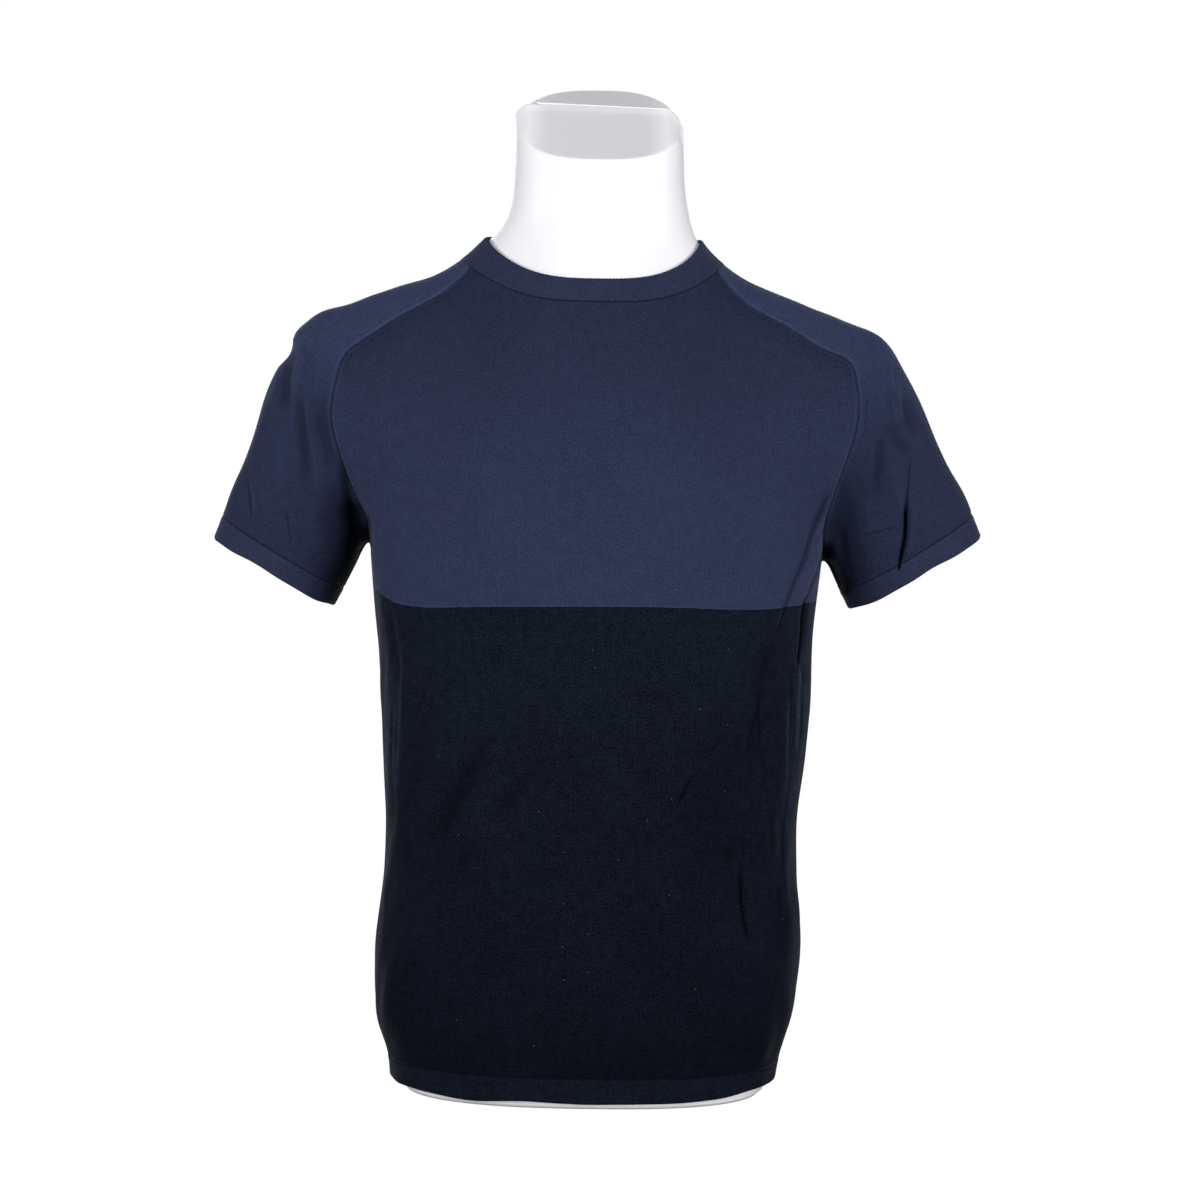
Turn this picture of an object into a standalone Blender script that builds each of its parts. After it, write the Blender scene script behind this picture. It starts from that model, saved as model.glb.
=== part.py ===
"""A short-sleeved fine-knit sweater, worn by a white limbless dress form that stands on its base.

Metres, +Z up, the front faces -Y.  The origin is the middle of the form's flat base.  Left and right are
the wearer's: the right sleeve lies at -X.

The outer face of the cloth is one smooth field, the torso blended with two sleeves.  Every panel is a grid
whose points are cast onto that field between the seams, so neighbours share their seam and wall direction.
"""

import math

import bmesh
import bpy
import numpy as np

# Walls and gaps
JERSEY_WALL = 0.0015
RIB_WALL = 0.0020
RIB_PROUD = 0.0003
SEAM_GAP = 0.0003
ARMPIT_GAP = 0.0006
ARMPIT_EASE = 1.8
ARMPIT_EASE_ROWS = 5

# Heights of the main lines
HEM_EDGE_Z = 0.0045
HEM_SEAM_Z = 0.0245
HEM_SIDE_RISE = 0.0035
NECK_FRONT_Z = 0.603
NECK_SIDE_Z = 0.632
NECK_BACK_Z = 0.640
COLLAR_RISE = 0.0172
COLLAR_SIDE_EXTRA = 0.0017
CUFF_DEPTH = 0.0165

# Where the raglan seams meet the neckline, in degrees round from the front
NECK_CORNER_FRONT = 72
NECK_CORNER_BACK = 111
NECKLINE_POWER = 3.7

# Grid counts
BODY_COLUMNS = 26
BODY_ROWS = 11
CAP_ROWS = 13
TUBE_ROWS = 2
SLEEVE_COLUMNS = 16
SEAM_FINE_POINTS = 160
NEVER_CLOSED = 1000

RIGHT, LEFT = -1, 1
FRONT, BACK = -1, 1
SIDE_NAME = {RIGHT: "right", LEFT: "left"}

# Torso sections: the cloth's reach from the middle at each height, and how square the oval is
TORSO = [
    # z      right   left    front   back    square
    (0.000, 0.1500, 0.1450, 0.1080, 0.1080, 2.50),
    (0.026, 0.1530, 0.1490, 0.1095, 0.1100, 2.50),
    (0.050, 0.1605, 0.1560, 0.1120, 0.1135, 2.50),
    (0.080, 0.1636, 0.1610, 0.1130, 0.1155, 2.50),
    (0.115, 0.1622, 0.1640, 0.1120, 0.1145, 2.50),
    (0.160, 0.1577, 0.1605, 0.1090, 0.1100, 2.50),
    (0.205, 0.1560, 0.1595, 0.1070, 0.1050, 2.50),
    (0.255, 0.1583, 0.1640, 0.1090, 0.1030, 2.50),
    (0.300, 0.1612, 0.1678, 0.1130, 0.1060, 2.50),
    (0.350, 0.1645, 0.1690, 0.1170, 0.1130, 2.50),
    (0.400, 0.1695, 0.1735, 0.1200, 0.1210, 2.45),
    (0.450, 0.1705, 0.1730, 0.1190, 0.1260, 2.40),
    (0.500, 0.1640, 0.1640, 0.1130, 0.1260, 2.35),
    (0.550, 0.1480, 0.1480, 0.1000, 0.1160, 2.20),
    (0.590, 0.1240, 0.1220, 0.0870, 0.1020, 2.10),
    (0.620, 0.1005, 0.0970, 0.0770, 0.0900, 2.00),
    (0.645, 0.0840, 0.0790, 0.0705, 0.0815, 2.10),
    (0.665, 0.0732, 0.0722, 0.0660, 0.0740, 2.30),
    (0.685, 0.0688, 0.0682, 0.0642, 0.0690, 2.60),
    (0.710, 0.0674, 0.0664, 0.0640, 0.0655, 2.80),
    (0.780, 0.0662, 0.0632, 0.0640, 0.0645, 2.80),
]

# A sleeve's sections stand upright out to its pivot above the armpit, fan round it, then follow the arm
PIVOT_X = {RIGHT: 0.165, LEFT: 0.167}
PIVOT_Z = {RIGHT: 0.432, LEFT: 0.429}
ARM_TURN = {RIGHT: math.radians(66), LEFT: math.radians(61)}
REACH_AT_SHOULDER = 0.165
REACH_AT_ARM = 0.112
SLEEVE_START = 0.030

# Sleeve sections along the shoulder and arm; top and bottom are measured from the pivot
SLEEVE = {
    RIGHT: [
        # along  top     bottom  front   back    square
        (0.030, 0.2290, -0.100, 0.0790, 0.0890, 2.00),
        (0.085, 0.2110, -0.080, 0.0760, 0.0850, 2.00),
        (0.118, 0.1920, -0.060, 0.0720, 0.0790, 2.00),
        (0.154, 0.1790, -0.040, 0.0670, 0.0730, 2.05),
        (0.190, 0.1680, -0.030, 0.0650, 0.0700, 2.10),
        (0.222, 0.1615, -0.020, 0.0640, 0.0680, 2.15),
        (0.235, 0.1520, -0.010, 0.0610, 0.0650, 2.15),
        (0.264, 0.1345, -0.002, 0.0570, 0.0600, 2.15),
        (0.291, 0.1210, 0.001, 0.0545, 0.0565, 2.15),
        (0.328, 0.1120, 0.002, 0.0530, 0.0550, 2.15),
        (0.352, 0.1115, 0.002, 0.0525, 0.0545, 2.15),
        (0.376, 0.1095, 0.003, 0.0515, 0.0535, 2.15),
        (0.400, 0.1080, 0.0045, 0.0500, 0.0520, 2.15),
    ],
    LEFT: [
        # along  top     bottom  front   back    square
        (0.030, 0.2250, -0.100, 0.0790, 0.0890, 2.00),
        (0.085, 0.2060, -0.080, 0.0760, 0.0850, 2.00),
        (0.118, 0.1890, -0.060, 0.0720, 0.0790, 2.00),
        (0.154, 0.1755, -0.040, 0.0670, 0.0730, 2.05),
        (0.186, 0.1640, -0.030, 0.0640, 0.0690, 2.10),
        (0.220, 0.1565, -0.020, 0.0620, 0.0660, 2.15),
        (0.236, 0.1465, -0.010, 0.0580, 0.0620, 2.15),
        (0.252, 0.1365, -0.005, 0.0550, 0.0580, 2.15),
        (0.285, 0.1215, -0.002, 0.0500, 0.0530, 2.15),
        (0.313, 0.1165, -0.001, 0.0480, 0.0510, 2.15),
        (0.347, 0.1155, -0.001, 0.0470, 0.0490, 2.15),
        (0.362, 0.1140, -0.002, 0.0460, 0.0480, 2.15),
        (0.388, 0.1115, -0.003, 0.0450, 0.0470, 2.15),
    ],
}
CUFF_SEAM = {RIGHT: 0.3755, LEFT: 0.3625}
CUFF_TILT = {RIGHT: 0.0030, LEFT: 0.0005}
CUFF_FRONT_DROP = {RIGHT: 0.0000, LEFT: 0.0025}

# Raglan seams from the armpit to the shoulder: distance out from the middle, and the angle in degrees round
# the level line at SEAM_CENTRE_Z, from straight down towards the face that the seam lies on
SEAM_CENTRE_Z = 0.500
RAGLAN = {
    RIGHT: [
        # out     angle
        (0.1715, 0),
        (0.1712, 14),
        (0.1732, 30),
        (0.1810, 51),
        (0.1905, 75),
        (0.1972, 98),
        (0.1970, 114),
        (0.1925, 132),
        (0.1850, 142),
        (0.1670, 149),
        (0.1400, 157),
        (0.1130, 162),
    ],
    LEFT: [
        # out     angle
        (0.1750, 0),
        (0.1746, 14),
        (0.1746, 30),
        (0.1790, 52),
        (0.1868, 73),
        (0.1945, 96),
        (0.1970, 114),
        (0.1955, 130),
        (0.1890, 143),
        (0.1690, 147),
        (0.1400, 155),
        (0.1100, 160),
    ],
}

# How softly the sleeves run into the torso: tight at the armpit, wide at the shoulder
BLEND_ARMPIT = 0.006
BLEND_SHOULDER = 0.016
BLEND_FROM_Z = 0.44
BLEND_TO_Z = 0.50

# Between these heights the body's level rows turn to meet armpits of unlike heights
ROWS_TURN_FROM_Z = 0.20
ROWS_TURN_TO_Z = 0.42

# How far a point of the cloth is looked for, in how many steps and then halvings
CAST_REACH = 0.26
CAST_STEPS = 52
CAST_HALVINGS = 22

# The largest folds: a soft trough or ridge along a line on the front or the back
FOLDS = [
    # face   x0      z0     x1      z1     half_width  depth
    (FRONT, 0.168, 0.420, 0.128, 0.250, 0.020, -0.0030),
    (FRONT, -0.085, 0.285, -0.125, 0.170, 0.022, -0.0022),
    (BACK, -0.165, 0.400, -0.110, 0.230, 0.022, -0.0026),
    (BACK, 0.150, 0.380, 0.105, 0.260, 0.020, -0.0022),
]

# A fold swells and dies away between these shares of its line, and fades this near to the sides
FOLD_STARTS = (-0.15, 0.20)
FOLD_ENDS = (0.70, 1.15)
FOLD_SIDE_FADE = 0.03

# The dress form
FORM_CLEARANCE = [
    # z     inside the cloth's outer face
    (0.000, 0.0060),
    (0.080, 0.0060),
    (0.180, 0.0090),
    (0.260, 0.0100),
    (0.400, 0.0066),
    (0.450, 0.0068),
    (0.500, 0.0058),
    (0.550, 0.0040),
    (0.600, 0.0032),
    (0.640, 0.0028),
    (0.680, 0.0024),
    (0.780, 0.0024),
]
FORM_SHOULDER_X = 0.166
FORM_SHOULDER_TURN = math.radians(20)
FORM_SHOULDER_ROUND = 0.016
FORM_RING_HEIGHTS = [
    0.000, 0.004, 0.040, 0.080, 0.125, 0.170, 0.215, 0.260, 0.305, 0.350,
    0.395, 0.430, 0.448, 0.464, 0.482, 0.502, 0.522, 0.542, 0.558, 0.572,
    0.584, 0.594, 0.604, 0.616, 0.630, 0.645, 0.662, 0.685,
]
FORM_COLUMNS = 44
BASE_CHAMFER = 0.003
NECK_FRONT_RIM_Z = 0.708
NECK_RIDGE_Z = 0.7555
NECK_BACK_RIM_Z = 0.766
NECK_REACH = 0.062
NECK_CORNER_WIDTH = 0.0185
NECK_CORNER_DROP = 0.016
NECK_CORNER_FADE_Y = (-0.055, -0.015)
RIM_PASSES = 4
CAP_RING_SHARES = [0.94, 0.75, 0.50, 0.25]

COLORS = {
    "body_knit": (0.0285, 0.0369, 0.0785),
    "sleeve_knit": (0.0242, 0.0310, 0.0666),
    "rib_knit": (0.0300, 0.0380, 0.0780),
    "dark_rib_knit": (0.0071, 0.0093, 0.0171),
    "white_plastic": (0.80, 0.80, 0.82),
}
KNIT_ROUGHNESS = 0.9
PLASTIC_ROUGHNESS = 0.25


# ---------------------------------------------------------------- smooth tables

def spline_bends(keys, values):
    """Second derivatives of the natural cubic spline through the points."""
    count = len(keys)
    step = np.diff(keys)
    rise = np.diff(values) / step
    matrix = np.eye(count)
    right_side = np.zeros(count)
    for i in range(1, count - 1):
        matrix[i, i - 1:i + 2] = step[i - 1], 2 * (step[i - 1] + step[i]), step[i]
        right_side[i] = 6 * (rise[i] - rise[i - 1])
    return np.linalg.solve(matrix, right_side)


def make_curve(keys, values):
    """A function that reads the natural cubic spline through the points, held level past its ends."""
    keys, values = np.asarray(keys, float), np.asarray(values, float)
    bends = spline_bends(keys, values)

    def read(at):
        at = np.clip(at, keys[0], keys[-1])
        k = np.clip(np.searchsorted(keys, at, side="right") - 1, 0, len(keys) - 2)
        width = keys[k + 1] - keys[k]
        b = (at - keys[k]) / width
        a = 1 - b
        bend = (a ** 3 - a) * bends[k] + (b ** 3 - b) * bends[k + 1]
        return a * values[k] + b * values[k + 1] + bend * width ** 2 / 6

    return read


def make_curves(table):
    """One curve for each column after the first."""
    columns = list(zip(*table))
    return [make_curve(columns[0], column) for column in columns[1:]]


TORSO_CURVES = make_curves(TORSO)
SLEEVE_CURVES = {side: make_curves(table) for side, table in SLEEVE.items()}
CLEARANCE_CURVE = make_curves(FORM_CLEARANCE)[0]


def ramp(value, start, end):
    """0 before start, 1 past end, smooth between."""
    share = np.clip((value - start) / (end - start), 0, 1)
    return share * share * (3 - 2 * share)


# ---------------------------------------------------------------- the cloth's outer face as a field

def oval_field(u, v, half_u, half_v, square):
    """Negative inside a squared oval, about metres from it near its edge."""
    ratio = (np.abs(u / half_u) ** square + np.abs(v / half_v) ** square) ** (1 / square)
    return (ratio - 1) * np.minimum(half_u, half_v)


def torso_field(points):
    x, y, z = points[..., 0], points[..., 1], points[..., 2]
    right, left, front, back, square = (curve(z) for curve in TORSO_CURVES)
    return oval_field(x, y, np.where(x < 0, right, left), np.where(y < 0, front, back), square)


def arm_start(side):
    """How far along the sleeve the arm's straight part begins."""
    return PIVOT_X[side] + ARM_TURN[side] * (REACH_AT_SHOULDER + REACH_AT_ARM) / 2


def sleeve_place(side, points):
    """How far each point lies along the sleeve, and its height over the pivot in its section there."""
    x = points[..., 0] * side - PIVOT_X[side]
    z = points[..., 2] - PIVOT_Z[side]
    turn = ARM_TURN[side]
    angle = np.arctan2(x, z)
    inboard = x < 0
    on_arm = (angle > turn) & ~inboard
    fan = angle * (REACH_AT_SHOULDER - (REACH_AT_SHOULDER - REACH_AT_ARM) * angle / (2 * turn))
    along_arm = x * math.cos(turn) - z * math.sin(turn)
    along = np.where(on_arm, arm_start(side) + along_arm, PIVOT_X[side] + np.where(inboard, x, fan))
    over_arm = x * math.sin(turn) + z * math.cos(turn)
    height = np.where(inboard, z, np.where(on_arm, over_arm, np.hypot(x, z)))
    return along, height


def sleeve_axes(side, along):
    """The section there: a point on the pivot line and the direction of its height."""
    turn = ARM_TURN[side]
    reach_loss = (REACH_AT_SHOULDER - REACH_AT_ARM) / (2 * turn)
    past_pivot = np.clip(along, PIVOT_X[side], arm_start(side)) - PIVOT_X[side]
    root = np.sqrt(REACH_AT_SHOULDER ** 2 - 4 * reach_loss * past_pivot)
    angle = (REACH_AT_SHOULDER - root) / (2 * reach_loss)
    inboard = np.minimum(along - PIVOT_X[side], 0)
    down_arm = np.maximum(along - arm_start(side), 0)
    x = PIVOT_X[side] + inboard + down_arm * math.cos(turn)
    z = PIVOT_Z[side] - down_arm * math.sin(turn)
    start = np.stack([x * side, 0 * x, z + 0 * x], -1)
    up = np.stack([np.sin(angle) * side, 0 * angle, np.cos(angle)], -1)
    return start, up


def sleeve_field(side, points):
    along, height = sleeve_place(side, points)
    top, bottom, front, back, square = (curve(along) for curve in SLEEVE_CURVES[side])
    y = points[..., 1]
    wide = np.where(y < 0, front, back)
    field = oval_field(height - (top + bottom) / 2, y, (top - bottom) / 2, wide, square)
    return np.maximum(field, SLEEVE_START - along)


def soft_union(a, b, width):
    overlap = np.maximum(width - np.abs(a - b), 0) / width
    return np.minimum(a, b) - overlap ** 2 * width / 4


def cloth_field(points):
    shoulder = ramp(points[..., 2], BLEND_FROM_Z, BLEND_TO_Z)
    width = BLEND_ARMPIT + (BLEND_SHOULDER - BLEND_ARMPIT) * shoulder
    body = soft_union(torso_field(points), sleeve_field(RIGHT, points), width)
    return soft_union(body, sleeve_field(LEFT, points), width)


def field_normals(points, field=cloth_field, step=0.0006):
    """Unit directions in which the field grows."""
    moves = np.eye(3) * step
    grown = np.stack([field(points + move) - field(points - move) for move in moves], -1)
    return grown / np.linalg.norm(grown, axis=-1, keepdims=True)


def cast(starts, directions, field=cloth_field):
    """The first crossings of the field's zero, going out from inside points."""
    starts, directions = np.broadcast_arrays(np.asarray(starts, float), np.asarray(directions, float))
    directions = directions / np.linalg.norm(directions, axis=-1, keepdims=True)
    near = np.zeros(starts.shape[:-1])
    far = np.full(starts.shape[:-1], CAST_REACH)
    open_rays = np.ones(starts.shape[:-1], bool)
    for distance in np.linspace(0, CAST_REACH, CAST_STEPS + 1)[1:]:
        outside = field(starts + directions * distance) > 0
        far = np.where(open_rays & outside, distance, far)
        open_rays &= ~outside
        near = np.where(open_rays, distance, near)
    for _ in range(CAST_HALVINGS):
        middle = (near + far) / 2
        outside = field(starts + directions * middle[..., None]) > 0
        far = np.where(outside, middle, far)
        near = np.where(outside, near, middle)
    return starts + directions * near[..., None]


# ---------------------------------------------------------------- seams and edges

def level_directions(angles):
    """Level directions at these angles round from the front; negative angles lie to the wearer's right."""
    return np.stack([np.sin(angles), -np.cos(angles), 0 * angles], -1)


def neckline_z(angles):
    sine = np.abs(np.sin(angles))
    front = NECK_FRONT_Z + (NECK_SIDE_Z - NECK_FRONT_Z) * sine ** NECKLINE_POWER
    back = NECK_BACK_Z + (NECK_SIDE_Z - NECK_BACK_Z) * sine ** 2
    return np.where(np.cos(angles) > 0, front, back)


def cast_level(angles, heights):
    """Points of the cloth at these angles round the middle and at these heights."""
    angles, heights = np.broadcast_arrays(np.asarray(angles, float), np.asarray(heights, float))
    starts = np.stack([0 * angles, 0 * angles, heights], -1)
    return cast(starts, level_directions(angles))


def neck_corner_angle(side, face):
    degrees = NECK_CORNER_FRONT if face == FRONT else NECK_CORNER_BACK
    return side * math.radians(degrees)


def raglan_seam(side, face, count):
    """Points of the raglan seam from the armpit to the neckline, evenly spaced along it."""
    corner_angle = neck_corner_angle(side, face)
    corner = cast_level(corner_angle, neckline_z(corner_angle))
    corner_turn = math.atan2(corner[1] * face, SEAM_CENTRE_Z - corner[2])
    outs = [out for out, _ in RAGLAN[side]] + [abs(corner[0])]
    turns = [math.radians(degrees) for _, degrees in RAGLAN[side]] + [corner_turn]
    keys = np.arange(len(outs))
    out_curve, turn_curve = make_curve(keys, outs), make_curve(keys, turns)

    def points_at(places):
        out, turn = out_curve(places), turn_curve(places)
        starts = np.stack([out * side, 0 * out, np.full_like(out, SEAM_CENTRE_Z)], -1)
        ways = np.stack([0 * out, face * np.sin(turn), -np.cos(turn)], -1)
        return cast(starts, ways)

    fine = np.linspace(0, keys[-1], SEAM_FINE_POINTS)
    lengths = np.linalg.norm(np.diff(points_at(fine), axis=0), axis=1)
    travelled = np.concatenate([[0], np.cumsum(lengths)])
    places = np.interp(np.linspace(0, travelled[-1], count), travelled, fine)
    seam = points_at(places)
    seam[-1] = corner
    return seam


def fold_depth(points):
    """How far the large folds move each point out of the smooth face."""
    depth = np.zeros(points.shape[:-1])
    for face, x0, z0, x1, z1, half_width, height in FOLDS:
        run = np.array([x1 - x0, z1 - z0])
        length = np.linalg.norm(run)
        offset = points[..., [0, 2]] - np.array([x0, z0])
        along = offset @ run / length ** 2
        across = np.abs(offset @ np.array([run[1], -run[0]])) / length
        lengthwise = ramp(along, *FOLD_STARTS) * (1 - ramp(along, *FOLD_ENDS))
        crosswise = 1 - ramp(across, 0, 2 * half_width)
        depth += height * lengthwise * crosswise * ramp(points[..., 1] * face, 0, FOLD_SIDE_FADE)
    return depth


# ---------------------------------------------------------------- grids of the pieces, rows by columns

def body_grid(face):
    """The front or back from the hem seam up: side seams, then raglan seams, then the neckline."""
    seams = {side: raglan_seam(side, face, CAP_ROWS + 1) for side in (RIGHT, LEFT)}
    share = np.linspace(0, 1, BODY_COLUMNS + 1)
    middle_angle, turn = (0, math.pi / 2) if face == FRONT else (math.pi, -math.pi / 2)
    rows = []
    for height in np.linspace(HEM_SEAM_Z, seams[RIGHT][0][2], BODY_ROWS, endpoint=False):
        turned = ramp(height, ROWS_TURN_FROM_Z, ROWS_TURN_TO_Z)
        heights = height + share * (seams[LEFT][0][2] - seams[RIGHT][0][2]) * turned
        rows.append(cast_level(middle_angle + turn * (2 * share - 1), heights))
    centre_top = NECK_FRONT_Z if face == FRONT else NECK_BACK_Z
    for k in range(CAP_ROWS + 1):
        right, left = seams[RIGHT][k], seams[LEFT][k]
        start, end = math.atan2(right[0], -right[1]), math.atan2(left[0], -left[1])
        if face == BACK:
            start += 2 * math.pi
        angles = start + (end - start) * share
        rise = k / CAP_ROWS
        centre = seams[RIGHT][0][2] + (centre_top - seams[RIGHT][0][2]) * rise
        power = 2 + (NECKLINE_POWER - 2) * rise
        end_height = np.where(share < 0.5, right[2], left[2])
        end_sine = np.where(share < 0.5, abs(math.sin(start)), abs(math.sin(end)))
        bow = (np.abs(np.sin(angles)) / end_sine) ** power
        heights = centre + (end_height - centre) * bow
        if k == CAP_ROWS:
            heights = neckline_z(angles)
        row = cast_level(angles, heights)
        row[0], row[-1] = right, left
        rows.append(row)
    return np.array(rows)


def sleeve_sections(side, along, turns):
    """Points of the sleeve at these places along it and angles round from the top, front negative."""
    top, bottom = (curve(along) for curve in SLEEVE_CURVES[side][:2])
    start, up = sleeve_axes(side, along)
    middle = start + up * ((top + bottom) / 2)[..., None]
    ways = up * np.cos(turns)[..., None]
    ways[..., 1] += np.sin(turns)
    return cast(middle, ways)


def section_turn(side, point):
    """The angle of a point round its own section, from the top, front negative."""
    along, height = sleeve_place(side, point)
    top, bottom = (curve(along) for curve in SLEEVE_CURVES[side][:2])
    return along, np.arctan2(point[1], height - (top + bottom) / 2)


def sleeve_grid(side):
    """From the neckline, between the raglan seams, then all round the arm to the cuff seam."""
    front, back = raglan_seam(side, FRONT, CAP_ROWS + 1), raglan_seam(side, BACK, CAP_ROWS + 1)
    share = np.linspace(0, 1, SLEEVE_COLUMNS + 1)
    armpit_along = float(sleeve_place(side, front[0])[0])
    neck_along = float(sleeve_place(side, front[-1])[0])
    angles = side * np.radians(NECK_CORNER_FRONT + (NECK_CORNER_BACK - NECK_CORNER_FRONT) * share)
    rows = [cast_level(angles, neckline_z(angles))]
    for k in range(CAP_ROWS - 1, -1, -1):
        front_along, front_turn = section_turn(side, front[k])
        back_along, back_turn = section_turn(side, back[k])
        if k == 0:
            front_turn, back_turn = -math.pi, math.pi
        top_along = armpit_along + (neck_along - armpit_along) * k / CAP_ROWS
        ends = front_along + (back_along - front_along) * share
        along = ends + (top_along - ends) * 4 * share * (1 - share)
        row = sleeve_sections(side, along, front_turn + (back_turn - front_turn) * share)
        row[0], row[-1] = front[k], back[k]
        rows.append(row)
    turns = np.linspace(-math.pi, math.pi, SLEEVE_COLUMNS + 1)
    for k in range(1, TUBE_ROWS + 1):
        along = armpit_along + (cuff_along(side, turns, 0) - armpit_along) * k / TUBE_ROWS
        rows.append(sleeve_sections(side, along, turns))
    return np.array(rows)


def cuff_along(side, turns, past_seam):
    """How far along the sleeve a line parallel to the cuff seam lies."""
    tilt = -CUFF_TILT[side] * np.cos(turns)
    drop = CUFF_FRONT_DROP[side] * np.maximum(-np.sin(turns), 0)
    return CUFF_SEAM[side] + past_seam + tilt + drop


def cuff_grid(side):
    turns = np.linspace(-math.pi, math.pi, SLEEVE_COLUMNS + 1)
    return np.array([
        sleeve_sections(side, cuff_along(side, turns, past), turns) for past in (0, CUFF_DEPTH)
    ])


def angles_round(loop):
    """The angles of a loop's points round the middle, growing once round."""
    return np.unwrap(np.arctan2(loop[:, 0], -loop[:, 1]))


def hem_grid(front, back):
    """The hem band, from the body's lowest points down to its own edge."""
    loop = np.concatenate([front[0], back[0][::-1][1:]])
    angles = angles_round(loop)
    edge_z = HEM_EDGE_Z + HEM_SIDE_RISE * np.sin(angles) ** 4
    return np.array([loop, cast_level(angles, edge_z)])


def collar_grid(front, back, sleeves):
    """The neckband, from the neckline's points up to its own edge."""
    left, right = sleeves[LEFT][0], sleeves[RIGHT][0][::-1]
    loop = np.concatenate([front[-1], left[1:], back[-1][::-1][1:], right[1:]])
    angles = angles_round(loop)
    rise = COLLAR_RISE + COLLAR_SIDE_EXTRA * np.sin(angles) ** 2
    return np.array([loop, cast_level(angles, neckline_z(angles) + rise)])


# ---------------------------------------------------------------- from grids to solids

def trim_edge(points, inner, closed):
    """Moves an edge in towards its neighbours by half the seam gap, square to the seam."""
    along = np.gradient(points, axis=0)
    if closed:
        along[0] = along[-1] = points[1] - points[-2]
    along /= np.linalg.norm(along, axis=1, keepdims=True)
    inward = inner - points
    inward -= np.sum(inward * along, axis=1, keepdims=True) * along
    inward /= np.linalg.norm(inward, axis=1, keepdims=True)
    return points + inward * SEAM_GAP / 2


def trimmed(grid, closed_from, free_last_row=False, armpit_row=None):
    """The grid with its seam edges drawn in, and a body panel's armpit corners a little further.

    Rows from closed_from on meet themselves in a tube.
    """
    result = grid.copy()
    closed_first = closed_from == 0
    result[0] = trim_edge(grid[0], grid[1], closed_first)
    if not free_last_row:
        result[-1] = trim_edge(grid[-1], grid[-2], closed_from < len(grid))
    if closed_from:
        open_rows = slice(0, min(closed_from, len(grid)))
        for edge, inner in ((0, 1), (-1, -2)):
            moved = trim_edge(grid[:, edge], grid[:, inner], False) - grid[:, edge]
            if armpit_row is not None:
                moved[armpit_row] *= ARMPIT_GAP / (SEAM_GAP / 2)
                moved[armpit_row + 1:armpit_row + 1 + ARMPIT_EASE_ROWS] *= ARMPIT_EASE
            result[open_rows, edge] += moved[open_rows]
    if 0 < closed_from < len(grid):
        down_arm = grid[closed_from + 1, 0] - grid[closed_from, 0]
        armpit = grid[closed_from, 0] + down_arm / np.linalg.norm(down_arm) * ARMPIT_GAP
        result[closed_from, 0] = result[closed_from, -1] = armpit
    return result


def make_wall(name, grid, outer_lift, wall, material, closed_from):
    """A closed wall on a grid of points: its outer face lies outer_lift over them."""
    rows, columns = grid.shape[:2]
    flat = grid.reshape(-1, 3)
    normals = field_normals(flat)
    lift = (outer_lift + fold_depth(flat))[:, None]
    outer, inner = flat + normals * lift, flat + normals * (lift - wall)
    bm = bmesh.new()
    bmesh.ops.create_grid(bm, x_segments=columns - 1, y_segments=rows - 1, size=0.5)
    place = bm.verts.layers.int.new("place")
    for vert in bm.verts:
        column = round((vert.co.x + 0.5) * (columns - 1))
        row = round((vert.co.y + 0.5) * (rows - 1))
        vert[place] = row * columns + column
    for vert in bm.verts:
        vert.co = outer[vert[place]]
    if closed_from < rows:
        edges = (0, columns - 1)
        ends = [v for v in bm.verts if v[place] // columns >= closed_from and v[place] % columns in edges]
        bmesh.ops.remove_doubles(bm, verts=ends, dist=1e-5)
    made = bmesh.ops.extrude_face_region(bm, geom=list(bm.faces))
    for vert in (item for item in made["geom"] if isinstance(item, bmesh.types.BMVert)):
        vert.co = inner[vert[place]]
    return finish(name, bm, material)


def finish(name, bm, material):
    """Writes the mesh to a named object with its material, smooth except at its walls' edges."""
    bmesh.ops.recalc_face_normals(bm, faces=bm.faces)
    mesh = bpy.data.meshes.new(name)
    bm.to_mesh(mesh)
    bm.free()
    mesh.shade_smooth()
    mesh.set_sharp_from_angle(angle=math.radians(50))
    mesh.materials.append(material)
    made = bpy.data.objects.new(name, mesh)
    return made


# ---------------------------------------------------------------- the dress form

def form_field(points):
    """The form: inside the cloth by its clearance, cut off at each shoulder."""
    body = cloth_field(points) + CLEARANCE_CURVE(points[..., 2])
    for side in (RIGHT, LEFT):
        out = points[..., 0] * side - FORM_SHOULDER_X
        above = np.maximum(points[..., 2] - PIVOT_Z[side], 0)
        beyond = out * math.cos(FORM_SHOULDER_TURN) - above * math.sin(FORM_SHOULDER_TURN)
        body = -soft_union(-body, -beyond, FORM_SHOULDER_ROUND)
    return body


def cap_height(x, y):
    """The cap over the neck: a steep front facet, a flatter back one, and rounded side corners."""
    front = NECK_RIDGE_Z + (NECK_RIDGE_Z - NECK_FRONT_RIM_Z) * y / NECK_REACH
    back = NECK_RIDGE_Z + (NECK_BACK_RIM_Z - NECK_RIDGE_Z) * y / NECK_REACH
    corner = np.clip((np.abs(x) - (NECK_REACH - NECK_CORNER_WIDTH)) / NECK_CORNER_WIDTH, 0, 1)
    drop = NECK_CORNER_DROP * (1 - np.sqrt(1 - 0.95 * corner ** 2)) * ramp(y, *NECK_CORNER_FADE_Y)
    return np.where(y < 0, front, back) - drop


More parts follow.
